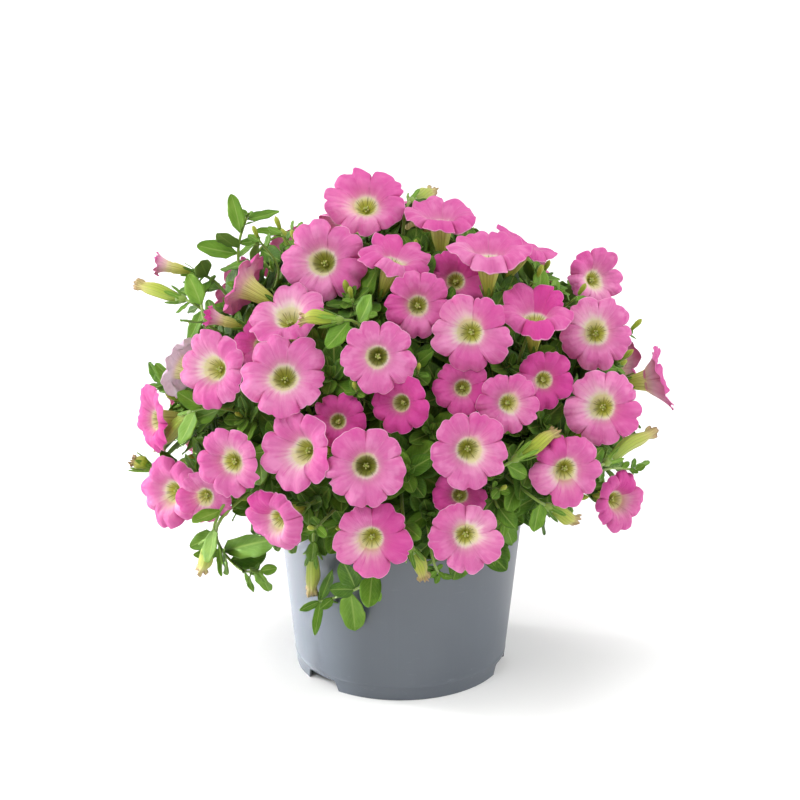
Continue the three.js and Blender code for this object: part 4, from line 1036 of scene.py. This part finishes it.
def leaf_material():
    shader = Shader("petunia_leaf", 0.56, 0.20, 0.04)
    s, t, tone = shader.attribute("place")
    wide = shader.noise(shader.vector(s * 3.0, t * 1.4, tone * 40.0), 1.0)
    beside = t.to("ABSOLUTE")
    veins = ((s - beside * 0.35) * (9 * math.pi)).sine_size().band(0.16, 0.04) * beside.band(0.98, 0.7)
    marks = beside.band(0.12, 0.03).to("MAXIMUM", veins * 0.6)
    # The place's third number is a random tone, and it paints leaves deep in the plant darker: a painted
    # shade.
    color = shader.ramp(tone * 0.6 + (wide * 0.9 - 0.25), (0.0, 46, 78, 18), (0.30, 74, 114, 28),
                        (0.65, 106, 148, 42), (1.0, 138, 172, 68))
    under = shader.attribute("skin")[0] * -0.45 + 0.45
    color = shader.paint(color, (marks * 0.45, 164, 188, 96), (under, 146, 168, 94))
    fine = shader.noise(shader.vector(s * 26.0, t * 12.0, tone), 1.6)
    return shader.finish(color, fine * 0.5 - marks, 0.35, 0.0005, 0.18)


def stem_material():
    shader = Shader("petunia_stem", 0.6, 0.3, 0.25)
    run, cx, cy = shader.attribute("place")
    place = shader.vector(run * 0.10, cx * 1.2, cy * 1.2)
    value = shader.attribute("skin")[0] * 0.45 + shader.noise(place, 1.4) * 0.6
    color = shader.ramp(value, (0.1, 78, 108, 34), (0.5, 110, 138, 48), (0.95, 144, 164, 72))
    return shader.finish(color, shader.noise(place, 9.0), 0.3, 0.0004)


def spent_material():
    shader = Shader("petunia_spent", 0.55, 0.3, 0.1)
    along, cx, cy = shader.attribute("place")
    streak = shader.noise(shader.vector(along * 1.5, cx * 2.4, cy * 2.4), 1.5, 4.0)
    color = shader.ramp(
        along * 0.72 + (streak * 0.20 - 0.10),
        (0.00, 122, 148, 36), (0.25, 148, 166, 46), (0.45, 166, 174, 62), (0.58, 176, 172, 84),
        (0.65, 184, 168, 108), (0.71, 166, 134, 92), (0.79, 120, 88, 62), (1.00, 66, 44, 34))
    lines = (cy.to("ARCTAN2", cx) * 7.0).sine_size().band(0.45, 0.05) * 0.5
    return shader.finish(shader.paint(color, (lines, 104, 98, 34)), streak, 0.6, 0.0010, 0.10)


def stamen_material():
    shader = Shader("petunia_stamen", 0.5, 0.3)
    run, tone = shader.attribute("place")[0], shader.attribute("skin")[0]
    grain = shader.noise(shader.vector(run, tone, 0.0), 2.5, 2.0)
    stops = ((0.1, 150, 154, 70), (0.55, 144, 160, 70), (0.95, 178, 176, 108))
    return shader.finish(shader.ramp(tone + (grain * 0.2 - 0.1), *stops))


def pot_material():
    shader = Shader("nursery_pot_plastic", 0.38, 1.0)
    coords = shader.coords()
    x, y, z = coords.parts()
    angle = y.to("ARCTAN2", x)
    cloud = shader.noise(coords, 14.0)
    flow = shader.noise(shader.vector(angle.to("COSINE") * 12.0, angle.to("SINE") * 12.0, z * 3.0), 1.0)
    scuff = shader.noise(shader.vector(x * 60.0, y * 60.0, z * 260.0), 1.0, 5.0, 0.7)
    worn = scuff.band(0.60, 0.72) * (z.band(0.030, 0.002) * 0.35 + 0.05)
    color = shader.paint(shader.ramp(cloud, (0.3, 68, 76, 86), (0.7, 75, 83, 93)),
                         (flow.band(0.5, 0.75) * 0.10, 92, 100, 110), (worn, 142, 148, 154))
    shader.feed(shader.surface.inputs["Roughness"], cloud * 0.10 + 0.34)
    return shader.finish(color, shader.noise(coords, 900.0, 2.0) + flow * 0.8, 0.12, 0.0003)


def soil_material():
    shader = Shader("peat", 0.95, 0.1)
    grain = shader.noise(shader.coords(), 320.0, 6.0, 0.7)
    lumps = shader.noise(shader.coords(), 90.0, 4.0)
    color = shader.ramp(grain * 0.6 + lumps * 0.4, (0.3, 24, 18, 14), (0.5, 48, 36, 28), (0.62, 74, 56, 42),
                        (0.72, 128, 112, 92))
    return shader.finish(color, grain + lumps, 1.0, 0.003)


def floor_material():
    shader = Shader("pale_floor", 0.9, 0.05)
    cloud = shader.noise(shader.coords(), 3.0, 2.0)
    return shader.finish(shader.ramp(cloud, (0.3, 246, 246, 246), (0.7, 249, 249, 249)))


# ---- The pot -------------------------------------------------------------------------------------

AROUND_POT = 240
MOULD_LINE = 11.0  # height of the faint line where the mould's two halves met
SMOOTH_TO = 38  # edges that bend more than this many degrees stay sharp


def side_radius(z):
    return POT["foot"] + POT["slope"] * z


def prism(points, faces, low, high):
    """Add a closed body between two outlines of as many points."""
    start, n = len(points), len(low)
    points += [*low, *high]
    faces += [tuple(range(start, start + n))[::-1], tuple(range(start + n, start + 2 * n))]
    faces += [(start + i, start + (i + 1) % n, start + n + (i + 1) % n, start + n + i) for i in range(n)]


def cutters():
    """The notches of the foot ring and the drain holes, as one mesh of separate bodies."""
    points, faces = [], []
    half = POT["foot"] * math.sin(math.radians(NOTCH["half_angle"]))
    shoulder, tall, corner = half - NOTCH["slant"], NOTCH["tall"], NOTCH["corner"]
    bend = shoulder + NOTCH["slant"] * 0.25
    arc = [(bend - (bend - shoulder + corner) * (1 - math.cos(a)), tall - corner * (1 - math.sin(a)))
           for a in np.linspace(0, math.pi / 2, 5)]
    outline = [(-half, -1), (half, -1), *arc, *[(-x, z) for x, z in reversed(arc)]]
    depths = (POT["foot"] - NOTCH["inside"], POT["foot"] + NOTCH["outside"])
    for turn in NOTCH_TURNS:
        c, s = math.cos(math.radians(turn)), math.sin(math.radians(turn))
        prism(points, faces, *[[(d * c - x * s, d * s + x * c, z) for x, z in outline] for d in depths])
    for index in range(DRAIN["count"]):
        turn = 2 * math.pi * (index + 0.5) / DRAIN["count"]
        middle = np.array([DRAIN["ring"] * math.cos(turn), DRAIN["ring"] * math.sin(turn), POT["floor"]])
        prism(points, faces, *[middle + ring(round_of(24), DRAIN["radius"], z) for z in (-4, 4)])
    return mesh_object("cutters", points, faces)


def pot_profile():
    """The shell's outline as (radius, height), from the underside out, up and down the inside."""
    floor, wall, top = POT["floor"], POT["wall"], POT["height"]
    foot, floor_top, under = POT["foot"], POT["floor"] + POT["floor_thick"], POT["height"] - LIP["tall"]
    proud = side_radius(under) + LIP["proud"]
    roll = [(proud - 1.0 + math.sin(a), top - 1.1 + math.cos(a)) for a in np.linspace(math.pi / 2, 0.15, 5)]
    heights = (5, MOULD_LINE - 0.5, MOULD_LINE + 0.5, *np.linspace(14, under - 1.2, 12))
    side = [(side_radius(z), z) for z in heights]
    side[2:2] = [(side_radius(MOULD_LINE) + 0.22, MOULD_LINE + z) for z in (-0.15, 0.15)]
    inside = [(top, 0.5, -0.05), (top, 0, -0.6), (80, 0, 0), (floor_top, 0, 0.8), (floor_top, -0.8, 0)]
    return [
        (0, floor), (40, floor), (side_radius(floor) - wall - 1.2, floor),
        (side_radius(floor) - wall, floor - 1.0), (foot - wall + 0.15, 0.4), (foot - wall + 0.5, 0),
        (foot - 0.5, 0), (foot - 0.02, 0.45), *side,
        (side_radius(under) + 0.25, under - 0.35),
        (proud - 0.6, under + 0.1), (proud - 0.1, under + 0.55), (proud, under + 1.2), *roll,
        *[(side_radius(z) - wall + out, z + up) for z, out, up in inside], (0, floor_top),
    ]


def pot_piece():
    """The moulded shell: its raised floor, its foot ring with three notches and its rolled edge."""
    profile = pot_profile()
    rings = [ring(round_of(AROUND_POT), r, z) for r, z in profile[1:-1]]
    ends = [[0, 0, profile[0][1]], [0, 0, profile[-1][1]]]
    pot = mesh_object("pot_shell", np.concatenate([*rings, ends]), capped(len(rings), AROUND_POT))
    cutter = cutters()
    cut = pot.modifiers.new("cut", "BOOLEAN")
    cut.operation, cut.object, cut.solver = "DIFFERENCE", cutter, "EXACT"
    made = bpy.data.meshes.new_from_object(pot.evaluated_get(bpy.context.evaluated_depsgraph_get()))
    pot.modifiers.clear()
    pot.data = made
    bpy.data.objects.remove(cutter)
    declare(pot, [pot_material()], "pot")
    made.set_sharp_from_angle(angle=math.radians(SMOOTH_TO))


# ---- Room for leaves -----------------------------------------------------------------------------

def joined_tree(meshes):
    """One tree, in which overlaps are looked up, of meshes given as points and faces."""
    points, faces = [], []
    for some, each in meshes:
        faces += [tuple(i + len(points) for i in face) for face in each]
        points += some
    return BVHTree.FromPolygons(points, faces)


def corolla_meshes():
    return [([tuple(p) for p in grid.reshape(-1, 3) * MM], sleeve(*grid.shape[:2])) for grid in SKINS]


def node_meshes(names):
    meshes = [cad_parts[name].data for name in names]
    return [([tuple(v.co) for v in mesh.vertices], [tuple(p.vertices) for p in mesh.polygons])
            for mesh in meshes]


ROUGH_LEAF = [(0.5, 0, -LEAF["fold"]), (0, 0, 0), (0.34, -1, 0), (0.72, -0.68, -0.06),
              (1, 0, -LEAF["droop"]), (0.72, 0.68, -0.06), (0.34, 1, 0)]
NEAR_LEAF = 0.035  # leaves whose middles are further apart than this can't cross


def rough_leaf(row):
    """The blade's outline in a few triangles, in metres."""
    across, upper = leaf_axes(row)
    length, half = row["length"], row["half"]
    points = [(row["root"] + row["along"] * x * length + across * y * half + upper * z * length) * MM
              for x, y, z in ROUGH_LEAF]
    faces = [(0, k, k % 6 + 1) for k in range(1, 7)]
    return BVHTree.FromPolygons([tuple(p) for p in points], faces), np.mean(points, axis=0)


def turned(row, angle, size):
    """The same leaf turned round its shoot and a little smaller or larger."""
    way, along = unit(row["face"]), row["along"]
    c, s = math.cos(angle), math.sin(angle)
    moved = along * c + np.cross(way, along) * s + way * (way @ along) * (1 - c)
    return {**row, "along": unit(moved), "length": row["length"] * size, "half": row["half"] * size}


class Room:
    """What leaves have been put where, so that a new one can be left out where it would cross another."""

    def __init__(self, hard):
        self.hard, self.trees = hard, []

    def take(self, row, forced=False):
        tree, middle = rough_leaf(row)
        if not forced:
            if any(tree.overlap(other) for other in self.hard):
                return False
            for other, place in self.trees:
                if abs(place[0] - middle[0]) < NEAR_LEAF and np.linalg.norm(place - middle) < NEAR_LEAF:
                    if tree.overlap(other):
                        return False
        self.trees.append((tree, middle))
        return True

    def grow(self, build, row):
        """Make the leaf, or one turned aside that has room, if there is one."""
        for angle, size in ((0, 1), (0.5, 0.95), (-0.5, 0.95), (0.95, 0.85), (-0.95, 0.85), (0, 0.7)):
            made = turned(row, angle, size)
            if self.take(made):
                leaf(build, made)
                return

    def clear_path(self, points):
        """Whether a thin twig along points meets nothing hard."""
        for a, b in zip(points[:-1], points[1:]):
            span = np.linalg.norm(b - a)
            for tree in self.hard:
                if tree.ray_cast(tuple(a * MM), tuple((b - a) / span), span * MM)[0] is not None:
                    return False
        return True


# ---- The plant -----------------------------------------------------------------------------------

class Green:
    """One leafy stem while it is made, and the leaves that wait until all twigs are in place."""

    def __init__(self, stem):
        self.stem, self.build = stem, Build()
        self.leaves, self.tips, self.more = [], [], []

    def twig(self, row):
        path = twig_path(self.stem, row["root"], row["axis"], row["sway"])
        return path, path(np.linspace(0, 1, 15))

    def hairy(self, line, radii, sides, tone, draw, apart):
        """A twig of 25 points with hairs, whose radii are at its foot, where hairs start and at its tip."""
        foot, middle, tip = radii
        tube(self.build, line, np.linspace(foot, tip, 25), sides, tone)
        hairs(self.build, line[8:], np.linspace(middle, tip, 17), draw, apart)


GREENS = {stem[0]: Green(stem) for stem in STEMS}
INWARD = 26  # how far inside the mound the shoots of hidden buds and small leaves start


def green_near(place):
    return GREENS[stem_near(place)[0]]


def inward_path(tip):
    low = tip - unit(tip - LEAVES_MIDDLE) * INWARD
    green = green_near(low)
    return green, shoot_path(green.stem, [low, tip])


def grow_flower_twigs(blooms):
    for row in blooms:
        green = green_near(row["root"])
        path, line = green.twig(row)
        tube(green.build, line, np.linspace(1.5, 1.15, 15), 8, Draws(row["seed"])(0, 1))
        scale = row["across"] / FLOWER
        frame_ = Frame(row["place"], row["axis"], row["spin"], scale)
        calyx(green.build, frame_, scale, Draws(row["seed"] + 3), 1.0, row["calyx"])
        green.leaves += [(made, path) for made in leaves_along(path, 2, [0.7], Draws(row["seed"] + 7))]
        places = [0.26, 0.38, 0.5, 0.6, 0.78, 0.86, 0.93]
        green.more += leaves_along(path, 0, places, Draws(row["seed"] + 11), (18, 34))


def grow_spent():
    for index, seen in enumerate(SPENT):
        row = spent_row(index, *seen)
        green = green_near(row["from"])
        path, line = green.twig(row)
        tube(green.build, line, np.linspace(1.4, 1.1, 15), 8, 0.5)
        draw = Draws(row["seed"] + 3)
        frame_ = Frame(row["place"], row["axis"], row["spin"], SPENT_SCALE)
        calyx(green.build, frame_, SPENT_SCALE, draw, 1.0, 0.9)
        spent_tube(green.build, row, draw)
        green.more += leaves_along(path, 0, [0.5, 0.7, 0.85, 0.95], Draws(row["seed"] + 11), (14, 28))


def grow_shoots():
    for number, (layer, pixels, leaves) in enumerate(SHOOTS):
        places = [place_seen(pixel, layer) for pixel in pixels]
        green = green_near(places[0])
        path = shoot_path(green.stem, places)
        green.hairy(path(np.linspace(0, 1, 25)), (1.5, 1.3, 0.9), 8, 0.6, Draws(87 + number), 0.4)
        near_tip = [0.84, 0.88, 0.92, 0.95, 0.975, 0.99, 0.999]
        green.tips += leaves_along(path, 0, near_tip, Draws(7700 + number), (6, 13))
        green.leaves += [(made, path) for made in shoot_leaves(path, layer, leaves, 7000 + number * 97)]
        green.more += leaves_along(path, 0, [0.4, 0.5, 0.6, 0.7], Draws(7500 + number), (18, 30))


def grow_seen_buds():
    for number, (pixel, layer, length) in enumerate(SEEN_BUDS):
        draw = Draws(8100 + number)
        place = place_seen(pixel, layer)
        green, path = inward_path(place)
        green.hairy(path(np.linspace(0, 1, 25)), (1.4, 1.2, 0.8), 7, 0.6, draw, 0.5)
        bud(green.build, place, unit(tangent(path, 1.0) + UP * 0.5), draw, length)
        green.tips += leaves_along(path, 0, [0.9, 0.95, 0.98], Draws(8200 + number), (7, 13))


def grow_stems():
    for index, green in enumerate(GREENS.values()):
        path = stem_path(green.stem)
        tube(green.build, path(np.linspace(0, 1, 30)), np.linspace(3.0, 2.0, 30), 12, 0.3)
        green.leaves += [(made, path) for made in leaves_along(path, 6, [0.99, 0.84], Draws(900 + index))]
        green.more += leaves_along(path, 0, np.linspace(0.3, 0.97, 14), Draws(950 + index), (22, 38))


def on_path(row, path):
    """The leaf with its root moved onto the middle of its smooth stem, and its tip where it was."""
    line = path(np.linspace(0, 1, 121))
    root = line[np.argmin(np.linalg.norm(line - row["root"], axis=1))]
    tip = leaf_tip(row)
    length = np.linalg.norm(tip - root)
    moved = {**row, "root": root, "along": unit(tip - root), "length": length}
    upper = leaf_axes(moved)[1]
    return {**moved, "along": unit(tip + upper * LEAF["droop"] * length - root)}


def grow_source_leaves(room):
    """The leaves that the part's own stems have, on the smooth stems."""
    for name, green in GREENS.items():
        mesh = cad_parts["leafy_stem_" + name].data
        near = KDTree(len(mesh.vertices))
        for i, v in enumerate(mesh.vertices):
            near.insert(v.co, i)
        near.balance()
        for row, path in green.leaves:
            if near.find(leaf_tip(row) * MM)[2] < 0.0006:
                row = on_path(row, path)
                room.take(row, forced=True)
                leaf(green.build, row)


SIDE_SHOOTS = 170
# How far each pair of leaves is from a side shoot's tip, and how long its leaves are.
SHOOT_LEAVES = ((0.4, 7), (1.2, 10), (2.4, 13), (4.2, 17), (7, 22), (11, 27), (16, 31), (22, 34), (29, 35),
                (37, 36))


def grow_side_shoots(room):
    """Leafy side shoots that fill the mound between its flowers."""
    draw = Draws(4242)
    for k in range(SIDE_SHOOTS):
        turn = (k * GOLDEN_ANGLE) % 360 - 180
        level = math.degrees(math.asin(-0.62 + 1.60 * (k + 0.5) / SIDE_SHOOTS))
        layer = draw(0.76, 0.90) if level < 15 else draw(0.70, 0.84)
        scale = draw(0.85, 1.1)
        tip = place_on_mound(turn + draw(-4, 4), level, layer)
        if level < -12:
            tip = tip * [0.9, 0.9, 1]
        green, path = inward_path(tip)
        line = evenly(path, 24)
        if not room.clear_path(line):
            continue
        green.hairy(line, (1.5, 1.3, 0.7), 7, draw(0, 1), Draws(77 + k), 0.9)
        span = run_along(line)[-1]
        for i, (gone, size) in enumerate(SHOOT_LEAVES):
            if gone < span * 0.85:
                grow_pair(room, green.build, path, 1 - gone / span, i, size * scale, tip, draw)
        if draw(0, 1) < 0.45:
            axis = unit(tangent(path, 1.0) + UP * 0.35)
            size = draw(9, 19)
            if room.clear_path(np.array([tip, tip + axis * size])):
                bud(green.build, tip, axis, draw, size)


def grow_pair(room, build, path, place, i, size, tip, draw):
    """Two leaves across from each other, or one at the very tip."""
    for side in (0, 180) if i > 0 else (0,):
        row = leaves_along(path, 0, [place], Draws(draw(1, 1e6)), (size * 0.9, size * 1.1))[0]
        way = tangent(path, place)
        round_ = math.radians(i * 97 + side)
        first = unit(np.cross(way, UP + [0.01, 0, 0]))
        across = first * math.cos(round_) + np.cross(way, first) * math.sin(round_)
        row["along"] = unit(across + way * (1.5 if i < 3 else 0.55) + 0.25 * unit(tip))
        room.grow(build, row)


def make_plant():
    singles = seen_blooms()
    clusters = [grouped_blooms(number, *row) for number, row in enumerate(GROUPS)]
    petals = [petal_material(), stamen_material()]
    pieces = [(f"{number:02d}", [row]) for number, row in enumerate(singles, 1)]
    pieces += [(f"group_{number}", rows) for number, rows in enumerate(clusters, 1)]
    for name, rows in pieces:
        build = Build()
        for row in rows:
            corolla(build, row)
        build.piece("petals_" + name, petals, "petal", "bloom_" + name)
    grow_flower_twigs(row for _, rows in pieces for row in rows)
    grow_spent()
    grow_shoots()
    grow_seen_buds()
    grow_stems()
    room = Room([joined_tree(corolla_meshes()), joined_tree(node_meshes(["pot", "soil"]))])
    grow_source_leaves(room)
    grow_side_shoots(room)
    for green in GREENS.values():
        for row in green.tips + green.more:
            room.grow(green.build, row)
    greens = [stem_material(), leaf_material(), spent_material()]
    for name, green in GREENS.items():
        green.build.piece("foliage_" + name, greens, "leaf", "leafy_stem_" + name)


# ---- Studio --------------------------------------------------------------------------------------

FLOOR_REACH = 12.0
WORLD_LIGHT = 0.77
# Lights: name, place, size, power and spread in degrees.
LIGHTS = [
    ("key", (-1.3, -1.6, 2.3), 1.4, 42, 180),
    ("left", (-2.1, 0.7, 0.4), 1.4, 56, 180),
    ("right", (2.2, 0.2, 1.2), 2.0, 38, 180),
    ("top", (0.0, 0.8, 3.2), 3.0, 28, 180),
    ("low", (-1.2, 0.4, 0.06), 0.2, 0.7, 15),
]
SENSOR = 36


def make_studio():
    scene = bpy.context.scene
    scene.view_settings.view_transform, scene.view_settings.look = "Standard", "None"
    scene.world = bpy.data.worlds.new("studio")
    scene.world.use_nodes = True
    background = scene.world.node_tree.nodes["Background"]
    background.inputs[0].default_value = (1.0, 1.0, 1.0, 1.0)
    background.inputs[1].default_value = WORLD_LIGHT
    corners = [(-1, -1, 0), (1, -1, 0), (1, 1, 0), (-1, 1, 0)]
    floor = mesh_object("floor", np.array(corners) * FLOOR_REACH / MM, [(0, 1, 2, 3)])
    floor.data.materials.append(floor_material())
    for name, place, size, power, spread in LIGHTS:
        data = bpy.data.lights.new(name, "AREA")
        data.shape, data.size, data.energy, data.spread = "DISK", size, power, math.radians(spread)
        light = bpy.data.objects.new(name, data)
        scene.collection.objects.link(light)
        light.location = place
        x, y, z = np.array([0, 0, min(place[2], 0.2)]) - np.array(place)
        light.rotation_euler = (math.atan2(math.hypot(x, y), -z), 0, math.atan2(y, x) - math.pi / 2)
    data = bpy.data.cameras.new("camera")
    data.sensor_width, data.lens, data.clip_end = SENSOR, VIEW["focal"] / PICTURE * SENSOR, 50
    data.shift_x = -(VIEW_CENTRE[0] - PICTURE / 2) / PICTURE
    camera = bpy.data.objects.new("camera", data)
    scene.collection.objects.link(camera)
    camera.location = EYE * MM
    camera.rotation_euler = (math.pi / 2 - RISE, 0, 0)
    scene.camera = camera


make_studio()
pot_piece()
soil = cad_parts["soil"]
soil.data.materials.clear()
soil.data.materials.append(soil_material())
make_plant()
